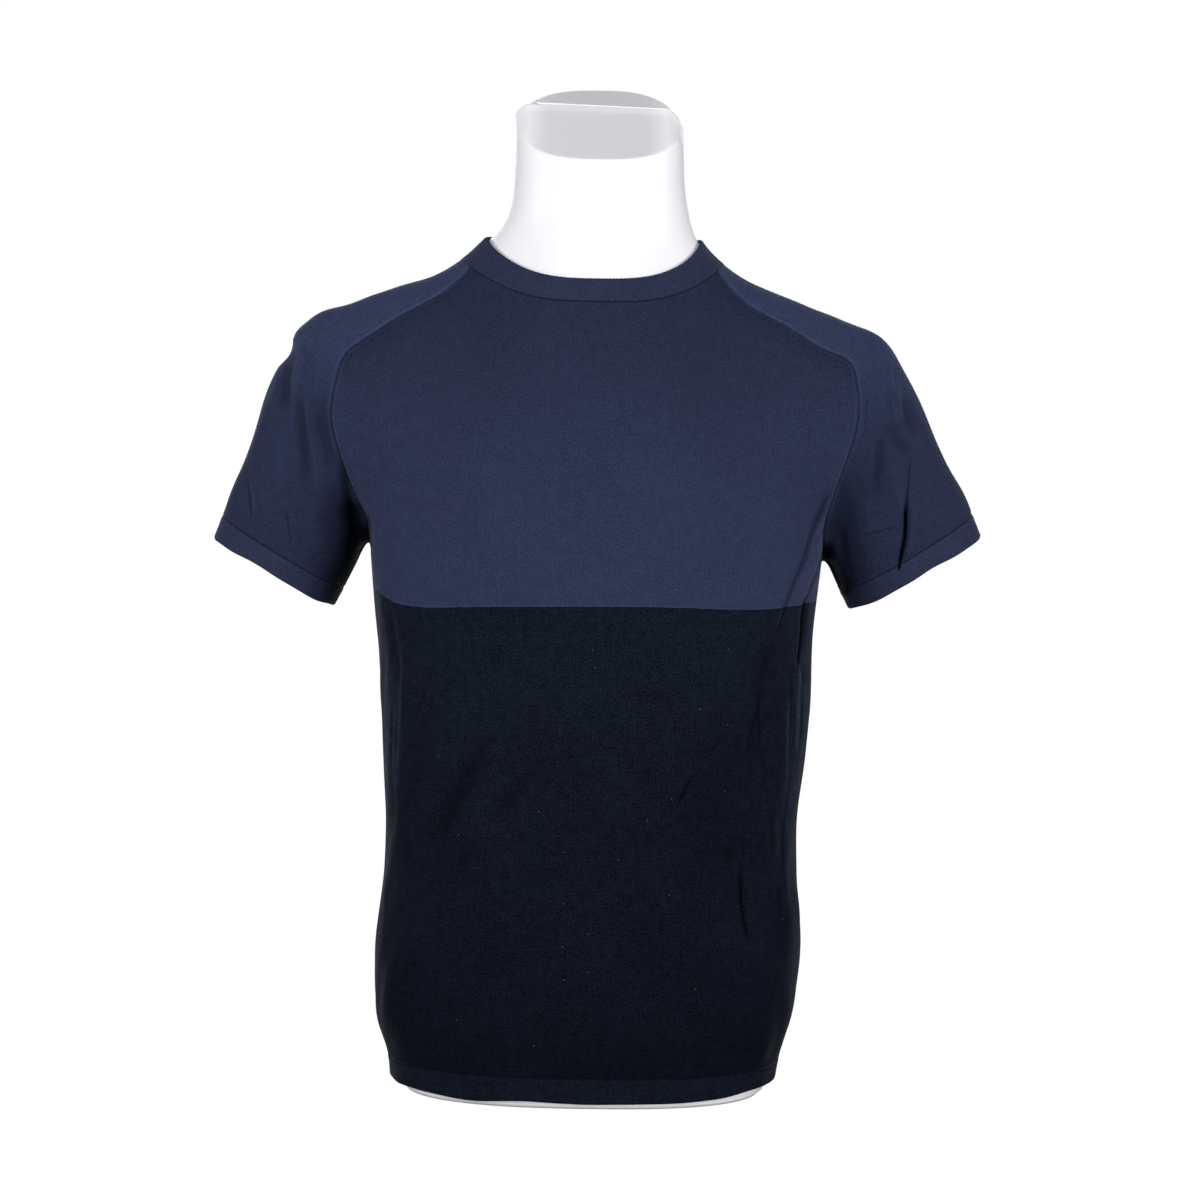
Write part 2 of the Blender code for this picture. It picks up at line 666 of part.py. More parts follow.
def form_rings():
    """Rings of the form from the base up to the neck's rim, then in over the cap."""
    angles = np.linspace(0, 2 * math.pi, FORM_COLUMNS, endpoint=False)
    ways = level_directions(angles)

    def ring_at(heights):
        starts = np.stack([0 * angles, 0 * angles, heights + 0 * angles], -1)
        return cast(starts, ways, field=form_field)

    rings = [ring_at(height) for height in FORM_RING_HEIGHTS]
    rings[0] -= ways * BASE_CHAMFER
    rim = ring_at(NECK_FRONT_RIM_Z)
    for _ in range(RIM_PASSES):
        rim_z = cap_height(rim[:, 0], rim[:, 1])
        rim = ring_at(rim_z)
    rings.append(ring_at((FORM_RING_HEIGHTS[-1] + rim_z) / 2))
    rings.append(rim)
    for share in CAP_RING_SHARES:
        ring = rim * share
        ring[:, 2] = cap_height(ring[:, 0], ring[:, 1])
        rings.append(ring)
    return rings


def make_form(material):
    """The form: its rings bridged, its base and the middle of its cap filled."""
    bm = bmesh.new()
    loops = []
    for ring in form_rings():
        verts = [bm.verts.new(point) for point in ring]
        loops.append([bm.edges.new((verts[k - 1], verts[k])) for k in range(len(verts))])
    for lower, upper in zip(loops, loops[1:]):
        bmesh.ops.bridge_loops(bm, edges=lower + upper)
    bmesh.ops.holes_fill(bm, edges=loops[0], sides=0)
    centre = bm.verts.new((0, 0, NECK_RIDGE_Z))
    for edge in loops[-1]:
        bm.faces.new((edge.verts[0], edge.verts[1], centre))
    return finish("dress_form", bm, material)


# ---------------------------------------------------------------- materials and assembly

def make_material(name):
    material = bpy.data.materials.new(name)
    material.use_nodes = True
    shader = material.node_tree.nodes["Principled BSDF"]
    shader.inputs["Base Color"].default_value = (*COLORS[name], 1)
    roughness = PLASTIC_ROUGHNESS if name == "white_plastic" else KNIT_ROUGHNESS
    shader.inputs["Roughness"].default_value = roughness
    shader.inputs["Metallic"].default_value = 0
    return material


def clear_scene():
    for thing in list(bpy.data.objects):
        bpy.data.objects.remove(thing, do_unlink=True)


def main():
    clear_scene()
    materials = {name: make_material(name) for name in COLORS}
    body_knit, sleeve_knit, rib = (materials[name] for name in ("body_knit", "sleeve_knit", "rib_knit"))
    bodies = {face: body_grid(face) for face in (FRONT, BACK)}
    sleeves = {side: sleeve_grid(side) for side in (RIGHT, LEFT)}
    pieces = [
        make_wall(
            name, trimmed(bodies[face], NEVER_CLOSED, armpit_row=BODY_ROWS),
            0, JERSEY_WALL, body_knit, NEVER_CLOSED,
        )
        for name, face in (("front", FRONT), ("back", BACK))
    ]
    for side, grid in sleeves.items():
        name = SIDE_NAME[side]
        tube = trimmed(grid, CAP_ROWS)
        pieces.append(make_wall(f"sleeve_{name}", tube, 0, JERSEY_WALL, sleeve_knit, CAP_ROWS))
        cuff = trimmed(cuff_grid(side), 0, free_last_row=True)
        pieces.append(make_wall(f"cuff_{name}", cuff, RIB_PROUD, RIB_WALL, rib, 0))
    collar = trimmed(collar_grid(bodies[FRONT], bodies[BACK], sleeves), 0, free_last_row=True)
    pieces.append(make_wall("collar", collar, RIB_PROUD, RIB_WALL, rib, 0))
    hem = trimmed(hem_grid(bodies[FRONT], bodies[BACK]), 0, free_last_row=True)
    pieces.append(make_wall("hem_band", hem, RIB_PROUD, RIB_WALL, materials["dark_rib_knit"], 0))
    pieces.append(make_form(materials["white_plastic"]))
    group = bpy.data.collections.new("sweater_on_dress_form")
    bpy.context.scene.collection.children.link(group)
    for piece in pieces:
        group.objects.link(piece)


main()
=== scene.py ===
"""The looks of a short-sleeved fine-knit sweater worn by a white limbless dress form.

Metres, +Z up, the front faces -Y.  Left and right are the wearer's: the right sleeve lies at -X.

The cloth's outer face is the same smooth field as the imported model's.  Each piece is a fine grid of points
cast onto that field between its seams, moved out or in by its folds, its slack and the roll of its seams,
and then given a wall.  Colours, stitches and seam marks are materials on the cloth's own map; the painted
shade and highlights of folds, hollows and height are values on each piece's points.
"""

import math

import bmesh
import bpy
import numpy as np
from mathutils import Matrix, Vector


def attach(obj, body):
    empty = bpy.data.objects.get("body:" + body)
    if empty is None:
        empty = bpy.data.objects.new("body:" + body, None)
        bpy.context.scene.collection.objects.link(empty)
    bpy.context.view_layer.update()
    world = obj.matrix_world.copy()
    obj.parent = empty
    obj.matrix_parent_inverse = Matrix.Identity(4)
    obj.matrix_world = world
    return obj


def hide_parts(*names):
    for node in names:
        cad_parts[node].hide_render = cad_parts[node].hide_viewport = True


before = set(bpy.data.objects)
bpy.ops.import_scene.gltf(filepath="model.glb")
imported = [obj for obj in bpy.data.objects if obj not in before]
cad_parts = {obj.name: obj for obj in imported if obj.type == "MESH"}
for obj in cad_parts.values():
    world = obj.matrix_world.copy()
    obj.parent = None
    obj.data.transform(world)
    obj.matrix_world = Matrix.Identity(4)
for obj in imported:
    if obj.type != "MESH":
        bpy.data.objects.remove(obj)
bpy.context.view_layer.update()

RIGHT, LEFT = -1, 1
FRONT, BACK = -1, 1
SIDE_NAME = {RIGHT: "right", LEFT: "left"}
FACE_NAME = {FRONT: "front", BACK: "back"}

# Walls and gaps
JERSEY_WALL = 0.0013
RIB_WALL = 0.0019
RIB_PROUD = 0.0003
SEAM_GAP = 0.00012

# The hem's edge and seam, lifted at the sides and a little unevenly in front
HEM_EDGE_Z = 0.0045
HEM_SEAM_Z = 0.0245
HEM_SIDE_RISE = 0.0035
HEM_SIDE_POWER = 4
HEM_FRONT_FROM = (-0.02, 0.02)
HEM_FRONT_RISE = [
    # x      rise
    (-0.150, 0.0000),
    (-0.100, 0.0000),
    (-0.088, -0.0002),
    (-0.074, 0.0008),
    (-0.060, 0.0020),
    (-0.044, 0.0023),
    (-0.024, 0.0008),
    (-0.002, -0.0003),
    (0.036, 0.0005),
    (0.072, 0.0003),
    (0.094, 0.0006),
    (0.116, 0.0022),
    (0.128, 0.0036),
    (0.150, 0.0033),
    (0.170, 0.0015),
]

# The neckline's heights, and the depths of the neckband and the cuffs
NECK_FRONT_Z = 0.603
NECK_SIDE_Z = 0.632
NECK_BACK_Z = 0.640
COLLAR_RISE = 0.0172
COLLAR_SIDE_EXTRA = 0.0017
CUFF_DEPTH = 0.0160
CUFF_OUTER_EXTRA = 0.15

# Where the raglan seams meet the neckline, in degrees round from the front
NECK_CORNER = {FRONT: 72, BACK: 111}
NECKLINE_POWER = 3.7

# Grid counts
BODY_COLUMNS = {FRONT: 240, BACK: 180}
BODY_ROWS = 120
CAP_ROWS = 76
SLEEVE_COLUMNS = 176
TUBE_ROWS = 84
BAND_ROWS = 14
SEAM_FINE_POINTS = 160

# Columns and rows crowd towards seams, and towards the creased sides of the front
EDGE_CROWD = 3.0
EDGE_REACH = 0.008
CROWD_POINTS = 4001
CREASED_SIDES = [(0.86, 0.075, 1.3), (0.13, 0.05, 0.8)]

# Torso sections: the cloth's reach from the middle at each height, and how square the oval is
TORSO = [
    # z      right   left    front   back    square
    (0.000, 0.1500, 0.1450, 0.1080, 0.1080, 2.50),
    (0.026, 0.1530, 0.1490, 0.1095, 0.1100, 2.50),
    (0.050, 0.1605, 0.1560, 0.1120, 0.1135, 2.50),
    (0.080, 0.1636, 0.1610, 0.1130, 0.1155, 2.50),
    (0.115, 0.1622, 0.1640, 0.1120, 0.1145, 2.50),
    (0.160, 0.1577, 0.1605, 0.1090, 0.1100, 2.50),
    (0.205, 0.1560, 0.1595, 0.1070, 0.1050, 2.50),
    (0.255, 0.1583, 0.1640, 0.1090, 0.1030, 2.50),
    (0.300, 0.1612, 0.1678, 0.1130, 0.1060, 2.50),
    (0.350, 0.1645, 0.1690, 0.1170, 0.1130, 2.50),
    (0.400, 0.1695, 0.1735, 0.1200, 0.1210, 2.45),
    (0.450, 0.1705, 0.1730, 0.1190, 0.1260, 2.40),
    (0.500, 0.1640, 0.1640, 0.1130, 0.1260, 2.35),
    (0.550, 0.1480, 0.1480, 0.1000, 0.1160, 2.20),
    (0.590, 0.1240, 0.1220, 0.0870, 0.1020, 2.10),
    (0.620, 0.1005, 0.0970, 0.0770, 0.0900, 2.00),
    (0.645, 0.0840, 0.0790, 0.0705, 0.0815, 2.10),
    (0.665, 0.0732, 0.0722, 0.0660, 0.0740, 2.30),
    (0.685, 0.0688, 0.0682, 0.0642, 0.0690, 2.60),
    (0.710, 0.0674, 0.0664, 0.0640, 0.0655, 2.80),
    (0.780, 0.0662, 0.0632, 0.0640, 0.0645, 2.80),
]

# A sleeve's sections stand upright out to its pivot above the armpit, fan round it, then follow the arm
PIVOT_X = {RIGHT: 0.165, LEFT: 0.167}
PIVOT_Z = {RIGHT: 0.432, LEFT: 0.429}
ARM_TURN = {RIGHT: math.radians(66), LEFT: math.radians(61)}
REACH_AT_SHOULDER = 0.165
REACH_AT_ARM = 0.112
SLEEVE_START = 0.030

# Sleeve sections along the shoulder and arm; top and bottom are measured from the pivot
SLEEVE = {
    RIGHT: [
        # along  top     bottom  front   back    square
        (0.030, 0.2290, -0.100, 0.0790, 0.0890, 2.00),
        (0.085, 0.2110, -0.080, 0.0760, 0.0850, 2.00),
        (0.118, 0.1920, -0.060, 0.0720, 0.0790, 2.00),
        (0.154, 0.1790, -0.040, 0.0670, 0.0730, 2.05),
        (0.190, 0.1680, -0.030, 0.0650, 0.0700, 2.10),
        (0.222, 0.1615, -0.020, 0.0640, 0.0680, 2.15),
        (0.235, 0.1520, -0.010, 0.0610, 0.0650, 2.15),
        (0.264, 0.1345, -0.002, 0.0570, 0.0600, 2.15),
        (0.291, 0.1210, 0.001, 0.0545, 0.0565, 2.15),
        (0.328, 0.1120, 0.002, 0.0530, 0.0550, 2.15),
        (0.352, 0.1115, 0.002, 0.0525, 0.0545, 2.15),
        (0.376, 0.1095, 0.003, 0.0515, 0.0535, 2.15),
        (0.400, 0.1080, 0.0045, 0.0500, 0.0520, 2.15),
    ],
    LEFT: [
        # along  top     bottom  front   back    square
        (0.030, 0.2250, -0.100, 0.0790, 0.0890, 2.00),
        (0.085, 0.2060, -0.080, 0.0760, 0.0850, 2.00),
        (0.118, 0.1890, -0.060, 0.0720, 0.0790, 2.00),
        (0.154, 0.1755, -0.040, 0.0670, 0.0730, 2.05),
        (0.186, 0.1640, -0.030, 0.0640, 0.0690, 2.10),
        (0.220, 0.1565, -0.020, 0.0620, 0.0660, 2.15),
        (0.236, 0.1465, -0.010, 0.0580, 0.0620, 2.15),
        (0.252, 0.1365, -0.005, 0.0550, 0.0580, 2.15),
        (0.285, 0.1215, -0.002, 0.0500, 0.0530, 2.15),
        (0.313, 0.1165, -0.001, 0.0480, 0.0510, 2.15),
        (0.347, 0.1155, -0.001, 0.0470, 0.0490, 2.15),
        (0.362, 0.1140, -0.002, 0.0460, 0.0480, 2.15),
        (0.388, 0.1115, -0.003, 0.0450, 0.0470, 2.15),
    ],
}
CUFF_SEAM = {RIGHT: 0.3755, LEFT: 0.3610}
CUFF_TILT = {RIGHT: 0.0057, LEFT: 0.0022}
CUFF_FRONT_DROP = {RIGHT: -0.0008, LEFT: 0.0020}

# Raglan seams from the armpit to the shoulder: distance out from the middle, and the angle in degrees round
# the level line at SEAM_CENTRE_Z, from straight down towards the face that the seam lies on
SEAM_CENTRE_Z = 0.500
RAGLAN = {
    RIGHT: [
        # out     angle
        (0.1715, 0),
        (0.1712, 14),
        (0.1732, 30),
        (0.1810, 51),
        (0.1905, 75),
        (0.1972, 98),
        (0.1970, 114),
        (0.1925, 132),
        (0.1850, 142),
        (0.1670, 149),
        (0.1400, 157),
        (0.1130, 162),
    ],
    LEFT: [
        # out     angle
        (0.1750, 0),
        (0.1746, 14),
        (0.1746, 30),
        (0.1790, 52),
        (0.1868, 73),
        (0.1945, 96),
        (0.1970, 114),
        (0.1955, 130),
        (0.1890, 143),
        (0.1690, 147),
        (0.1400, 155),
        (0.1100, 160),
    ],
}

# How softly the sleeves run into the torso: tight at the armpit, wide at the shoulder
BLEND_ARMPIT = 0.006
BLEND_SHOULDER = 0.016
BLEND_FROM_Z = 0.44
BLEND_TO_Z = 0.50

# Between these heights the body's level rows turn to meet armpits of unlike heights
ROWS_TURN_FROM_Z = 0.20
ROWS_TURN_TO_Z = 0.42

# How far a point of the cloth is looked for, in how many steps and then halvings.  One of the body that is
# found further out than the body reaches has missed the gap at the armpit, and is looked for in fine steps.
CAST_REACH = 0.26
CAST_STEPS, FINE_CAST_STEPS, CAST_HALVINGS = 26, 260, 17
BODY_MOST_OUT = 0.20
DRAW_PASSES = 6
NORMAL_STEP = 0.0006

# Points of a sleeve near the armpit that strayed into the torso are laid between their neighbours
ARMPIT_BAND = 0.03
ARMPIT_MARGIN = 0.001

# Creases and folds, each along a smooth line through places (x, z) on one face of a piece, or on both
# where the face is 0.  Places are in millimetres, half widths and heights in tenths of one.  A positive
# height is a ridge and a negative one a trough; edge is 0 for a soft swell and 1 for a pressed crease.
# Shade is painted shade, how much darker the yarn is drawn along it, or a painted highlight if negative;
# a row of height 0 is painted light alone.  The fades are the shares of the line over which it swells and
# dies away, and are the usual ones where none are given.
MILLIMETRES = 1000
TENTHS = 10000
USUAL_FADES = (0.3, 0.3)
BODY_FOLDS = [
    # face, half_width, height, edge, shade, places, fades
    (FRONT, 160, -20, 0, 0, [(168, 420), (149, 340), (130, 240)]),
    (FRONT, 100, -9, 0, 0.07, [(20, 165), (45, 120), (60, 70)]),
    (FRONT, 120, 8, 0, -0.04, [(-40, 130), (-60, 90), (-70, 50)]),
    (FRONT, 21, -24, 0.5, 0.46, [(176, 465), (170, 446), (163, 427), (157, 408), (150, 390), (145, 375),
            (140, 360), (135, 345)], (0.1, 0.25)),
    (FRONT, 47, -16, 0.1, 0.31, [(138, 359), (131, 342), (128, 323), (126, 305)], (0.4, 0.3)),
    (FRONT, 12, -14, 0.5, 0.42, [(126, 319), (125, 305), (124, 292)]),
    (FRONT, 31, -15, 0.2, 0.26, [(124, 304), (121, 278), (120, 259), (119, 239)], (0.2, 0.5)),
    (FRONT, 39, 17, 0, -0.14, [(184, 471), (176, 441), (167, 417), (160, 395), (156, 377), (152, 358)]),
    (FRONT, 12, -12, 0.7, 0.55, [(176, 421), (170, 404), (165, 389), (162, 376)], (0.2, 0.1)),
    (FRONT, 17, -32, 0.5, 0.88, [(163, 385), (161, 367), (160, 352), (158, 338), (157, 325)], (0.1, 0.2)),
    (FRONT, 10, -14, 0.6, 0.6, [(158, 334), (160, 325), (161, 315)]),
    (FRONT, 14, 9, 0.2, -0.16, [(179, 445), (174, 419), (168, 396), (166, 380)]),
    (FRONT, 12, 9, 0.2, -1.58, [(162, 350), (158, 326), (157, 305), (156, 284), (155, 259)], (0.2, 0.2)),
    (FRONT, 11, 7, 0.2, -1.16, [(162, 325), (162, 304), (161, 280), (159, 255)]),
    (FRONT, 7, -6, 0.4, 0.35, [(159, 312), (160, 291), (158, 268)]),
    (FRONT, 11, -9, 0.4, 0.5, [(165, 299), (165, 279), (163, 263), (161, 248)]),
    (FRONT, 19, 8, 0.1, -1.16, [(155, 263), (153, 236), (151, 209), (151, 181), (151, 149)], (0.3, 0.2)),
    (FRONT, 10, 5, 0.2, -0.95, [(154, 228), (154, 197), (156, 166), (158, 136)]),
    (FRONT, 10, -9, 0.5, 0.42, [(147, 221), (147, 201), (147, 175)]),
    (FRONT, 11, -10, 0.5, 0.42, [(137, 222), (137, 208), (138, 191)]),
    (FRONT, 12, 7, 0.2, -0.38, [(139, 225), (141, 204), (141, 179)]),
    (FRONT, 9, -7, 0.5, 0.38, [(142, 171), (143, 160), (146, 147)]),
    (FRONT, 55, 10, 0, -0.08, [(130, 274), (133, 232), (136, 186), (139, 133)], (0.4, 0.4)),
    (FRONT, 15, -24, 0.5, 0.72, [(113, 185), (114, 169), (115, 154), (118, 140), (121, 124)], (0.2, 0.25)),
    (FRONT, 9, -6, 0.4, 0.26, [(114, 124), (116, 109), (117, 90)], (0.3, 0.4)),
    (FRONT, 9, -5, 0.4, 0.2, [(121, 116), (122, 101), (123, 90)], (0.3, 0.4)),
    (FRONT, 27, 12, 0, -0.08, [(119, 182), (121, 161), (125, 138), (128, 116)]),
    (FRONT, 31, -9, 0.1, 0.26, [(108, 209), (105, 196), (103, 180)]),
    (FRONT, 9, -18, 0.6, 0.58, [(80, 257), (74, 249), (70, 240), (65, 230), (61, 222)]),
    (FRONT, 20, -8, 0.1, 0.12, [(93, 282), (86, 267), (79, 254)], (0.4, 0.3)),
    (FRONT, 17, -6, 0.1, 0.12, [(62, 225), (59, 214), (56, 203)], (0.3, 0.4)),
    (FRONT, 31, 10, 0, -0.08, [(98, 287), (84, 261), (75, 240), (65, 218)], (0.4, 0.4)),
    (FRONT, 31, -9, 0, 0.13, [(50, 271), (41, 253), (33, 238)], (0.4, 0.4)),
    (FRONT, 52, -28, 0, 0.36, [(-73, 285), (-85, 261), (-95, 240), (-103, 222), (-112, 203),
            (-120, 182)], (0.35, 0.35)),
    (FRONT, 47, 13, 0, -0.1, [(-67, 251), (-79, 226), (-90, 202), (-102, 181)], (0.4, 0.4)),
    (FRONT, 39, -11, 0, 0.24, [(-37, 260), (-52, 244), (-64, 228), (-72, 211)], (0.4, 0.4)),
    (FRONT, 35, -11, 0, 0.24, [(-81, 205), (-92, 190), (-98, 170)], (0.4, 0.4)),
    (FRONT, 14, -13, 0.4, 0.3, [(-124, 315), (-127, 302), (-131, 290)]),
    (FRONT, 16, 8, 0.1, -0.12, [(-121, 314), (-123, 301), (-127, 289)]),
    (FRONT, 31, -17, 0.1, 0.34, [(-151, 373), (-149, 347), (-146, 326), (-144, 302)], (0.25, 0.4)),
    (FRONT, 11, 8, 0.3, -0.84, [(-143, 355), (-143, 329), (-143, 302), (-144, 271), (-145, 240),
            (-147, 209)]),
    (FRONT, 20, 10, 0.1, -1.26, [(-155, 338), (-154, 300), (-153, 269), (-152, 230), (-152, 192),
            (-152, 162)]),
    (FRONT, 9, -8, 0.5, 0.5, [(-151, 296), (-150, 274), (-149, 248)]),
    (FRONT, 7, -5, 0.4, 0.3, [(-152, 260), (-150, 231)]),
    (FRONT, 9, 6, 0.2, -0.63, [(-148, 274), (-147, 251), (-148, 224)]),
    (FRONT, 10, -8, 0.4, 0.45, [(-157, 345), (-158, 314), (-157, 282)]),
    (FRONT, 10, -8, 0.4, 0.45, [(-165, 388), (-162, 370), (-159, 353)], (0.3, 0.2)),
    (FRONT, 39, -9, 0, 0.16, [(-139, 206), (-136, 188), (-137, 172)], (0.4, 0.4)),
    (FRONT, 31, -6, 0, 0.4, [(-184, 460), (-179, 445), (-175, 429), (-173, 414)], (0.3, 0)),
    (FRONT, 12, 8, 0.2, -0.42, [(183, 468), (178, 443), (174, 419), (170, 391), (167, 376)]),
    (FRONT, 9, 5, 0.2, -0.22, [(179, 457), (173, 432), (167, 409), (162, 392)]),
    (FRONT, 11, 6, 0.2, -1.1, [(150, 314), (149, 291), (148, 264), (147, 238)]),
    (FRONT, 9, -7, 0.4, 0.45, [(153, 336), (152, 306), (151, 279)]),
    (FRONT, 14, -9, 0.3, 0.3, [(129, 329), (126, 308), (127, 282), (129, 255)]),
    (FRONT, 12, 7, 0.2, -1.2, [(-157, 251), (-153, 222), (-155, 182), (-155, 146), (-157, 108)]),
    (FRONT, 10, -8, 0.4, 0.4, [(117, 218), (116, 199), (115, 183)]),
    (FRONT, 11, -9, 0.4, 0.28, [(102, 289), (92, 275), (83, 261)]),
    # Rows of height 0 here are painted light alone: painted highlight down each side of the body, and painted
    # shade over the dark yarn on the wearer's left
    (FRONT, 39, 0, 0, -0.26, [(-151, 339), (-148, 309), (-147, 271), (-148, 224)], (0.3, 0.4)),
    (FRONT, 62, 10, 0, -0.1, [(-99, 277), (-114, 244), (-128, 208)], (0.4, 0.4)),
    (FRONT, 200, 0, 0, 0.22, [(92, 330), (88, 240), (84, 130)], (0.4, 0.4)),
    (FRONT, 80, 0, 0, -0.45, [(-158, 372), (-156, 300), (-154, 200)], (0.2, 0.3)),
    (FRONT, 70, 0, 0, -0.25, [(158, 372), (154, 300), (150, 200)], (0.2, 0.3)),
    (BACK, 160, -24, 0, 0.06, [(-168, 412), (-140, 320), (-105, 220)]),
    (BACK, 150, -24, 0, 0.06, [(165, 400), (135, 320), (100, 235)]),
    (BACK, 30, -22, 0.4, 0.34, [(-172, 440), (-152, 380), (-132, 318), (-118, 262)]),
    (BACK, 42, 17, 0.1, -0.12, [(-163, 425), (-145, 362), (-122, 300), (-108, 232)]),
    (BACK, 14, -20, 0.6, 0.55, [(-158, 352), (-153, 318), (-150, 288)]),
    (BACK, 26, -20, 0.5, 0.32, [(176, 446), (160, 392), (141, 340), (131, 286)]),
    (BACK, 50, 15, 0.1, -0.1, [(168, 436), (151, 380), (133, 322), (118, 250)]),
    (BACK, 15, -22, 0.6, 0.62, [(150, 338), (147, 312), (148, 281)]),
    (BACK, 90, -24, 0, 0.18, [(-30, 250), (-10, 195), (4, 130)]),
    (BACK, 60, 12, 0, -0.08, [(-16, 246), (5, 190), (20, 132)]),
    (BACK, 60, -16, 0, 0.14, [(50, 235), (36, 180), (40, 110)]),
    (BACK, 70, 13, 0, -0.07, [(-70, 200), (-62, 140), (-70, 80)]),
    (BACK, 16, -18, 0.6, 0.5, [(-120, 190), (-124, 150), (-121, 105)]),
    (BACK, 13, -15, 0.6, 0.42, [(128, 205), (131, 168), (128, 120)]),
    (BACK, 12, -14, 0.6, 0.4, [(52, 268), (44, 246), (40, 225)]),
]

SLEEVE_FOLDS = {
    RIGHT: [
        # face, half_width, height, edge, shade, places, fades
        (FRONT, 36, -26, 0, 0.36, [(-224, 542), (-222, 518), (-219, 496), (-216, 473),
                (-211, 445)], (0.3, 0.4)),
        (FRONT, 14, 13, 0.1, -0.14, [(-218, 535), (-216, 512), (-213, 490)]),
        (FRONT, 62, -24, 0, 0.3, [(-210, 535), (-205, 511), (-201, 490), (-198, 466)], (0.4, 0.3)),
        (FRONT, 28, 22, 0.1, -0.27, [(-227, 575), (-226, 558), (-226, 539), (-227, 514)], (0.15, 0.4)),
        (FRONT, 47, -26, 0, 0.36, [(-233, 555), (-235, 536), (-235, 514)], (0.2, 0.4)),
        (FRONT, 9, -14, 0.6, 0.42, [(-264, 467), (-261, 451), (-258, 433)]),
        (FRONT, 11, 8, 0.1, -0.16, [(-262, 470), (-258, 453), (-255, 436)]),
        (FRONT, 9, -11, 0.6, 0.26, [(-233, 449), (-230, 434), (-227, 415)]),
        (FRONT, 11, 6, 0.1, -0.08, [(-235, 450), (-232, 434), (-229, 417)]),
        (FRONT, 10, -8, 0.3, 0.2, [(-215, 404), (-208, 408), (-201, 412)]),
        (FRONT, 9, 5, 0.1, -0.1, [(-258, 499), (-248, 494), (-239, 491)]),
        (FRONT, 39, 12, 0, -0.11, [(-242, 510), (-238, 480), (-236, 452)], (0.4, 0.4)),
        (0, 75, -32, 0, 0.12, [(-222, 555), (-240, 562)], (0, 0)),
        (0, 60, 16, 0, -0.06, [(-221, 572), (-238, 580)], (0, 0)),
        # Painted shadow: the black of the hollow between the sleeve and the body under the arm
        (0, 31, -16, 0, 0.74, [(-192, 500), (-189, 479), (-186, 460), (-183, 445)], (0.6, 0)),
        (0, 70, -12, 0, 0.97, [(-185, 456), (-182, 438), (-180, 424), (-180, 413)], (0.3, 0)),
        (0, 70, -5, 0, 0.97, [(-181, 416), (-185, 401), (-191, 386), (-195, 374)], (0, 0)),
        (0, 47, -6, 0, 0.8, [(-172, 427), (-174, 415), (-179, 406)], (0, 0)),
        (FRONT, 80, 0, 0, -0.22, [(-206, 506), (-204, 470), (-203, 440)], (0.4, 0.4)),
        (FRONT, 101, -16, 0, 0.3, [(-196, 496), (-194, 466), (-193, 439), (-193, 412),
                (-198, 385)], (0.4, 0)),
        (BACK, 60, -26, 0.1, 0.22, [(-216, 540), (-210, 490), (-203, 440)]),
        (BACK, 40, -22, 0.3, 0.2, [(-240, 490), (-232, 450), (-224, 412)]),
        (BACK, 50, 14, 0, -0.08, [(-229, 515), (-221, 470), (-213, 428)]),
        (BACK, 12, -14, 0.6, 0.36, [(-262, 462), (-254, 432), (-248, 410)]),
    ],
    LEFT: [
        # face, half_width, height, edge, shade, places, fades
        (FRONT, 28, 19, 0, -0.11, [(240, 467), (239, 450), (239, 433), (236, 415)], (0.3, 0.1)),
        (FRONT, 23, 13, 0, -0.12, [(228, 480), (231, 461), (231, 441)]),
        (FRONT, 9, -12, 0.6, 0.36, [(199, 429), (210, 432), (219, 435), (228, 437)], (0.3, 0.2)),
        (FRONT, 14, 7, 0.1, -0.07, [(200, 433), (210, 436), (219, 438)]),
        (FRONT, 43, -22, 0, 0.3, [(218, 518), (226, 506), (233, 496), (240, 489)]),
        (FRONT, 31, -18, 0, 0.22, [(218, 518), (214, 495), (212, 475), (212, 450)], (0.4, 0.4)),
        (FRONT, 28, 13, 0, -0.12, [(206, 504), (207, 484), (209, 462)], (0.4, 0.4)),
        (FRONT, 28, 14, 0, -0.12, [(222, 494), (225, 472), (227, 451)]),
        (FRONT, 12, 10, 0.1, -0.2, [(222, 570), (223, 553), (224, 537)], (0.2, 0.3)),
        (FRONT, 25, 16, 0, -0.2, [(227, 552), (228, 532), (231, 512)], (0.3, 0.4)),
        (FRONT, 39, -22, 0, 0.3, [(233, 537), (237, 519), (244, 502)], (0.3, 0.4)),
        (FRONT, 12, -8, 0.1, 0.12, [(225, 547), (226, 535), (227, 523)]),
        (FRONT, 25, 10, 0, -0.09, [(217, 553), (215, 536), (213, 522)]),
        (FRONT, 120, 0, 0, 0.18, [(212, 512), (213, 480), (214, 444)], (0.4, 0.4)),
        (FRONT, 101, -20, 0, 0.36, [(189, 499), (186, 472), (186, 451), (188, 430), (190, 409),
                (195, 389)], (0.4, 0)),
        # Painted shadow: the black of the hollow between the sleeve and the body under the arm
        (0, 36, -10, 0, 0.96, [(176, 428), (179, 412), (185, 399), (192, 386)], (0.25, 0)),
        (0, 39, -4, 0, 0.85, [(172, 421), (176, 410), (180, 402)], (0, 0)),
        (FRONT, 25, -8, 0, 0.35, [(186, 441), (188, 424), (191, 409), (195, 393)], (0.3, 0)),
        (FRONT, 9, -16, 0.4, 0.52, [(237, 493), (237, 480), (236, 465), (235, 450)], (0.4, 0.1)),
        (FRONT, 16, -44, 0.5, 0.94, [(236, 463), (235, 450), (235, 437), (234, 425), (232, 415),
                (231, 407)], (0.3, 0)),
        (BACK, 60, -26, 0.1, 0.22, [(220, 540), (213, 490), (208, 440)]),
        (BACK, 17, -34, 0.5, 0.7, [(246, 492), (240, 452), (232, 412)]),
        (BACK, 50, 15, 0, -0.08, [(235, 520), (228, 474), (221, 430)]),
        (BACK, 13, -14, 0.6, 0.34, [(264, 470), (258, 440), (252, 418)]),
    ],
}
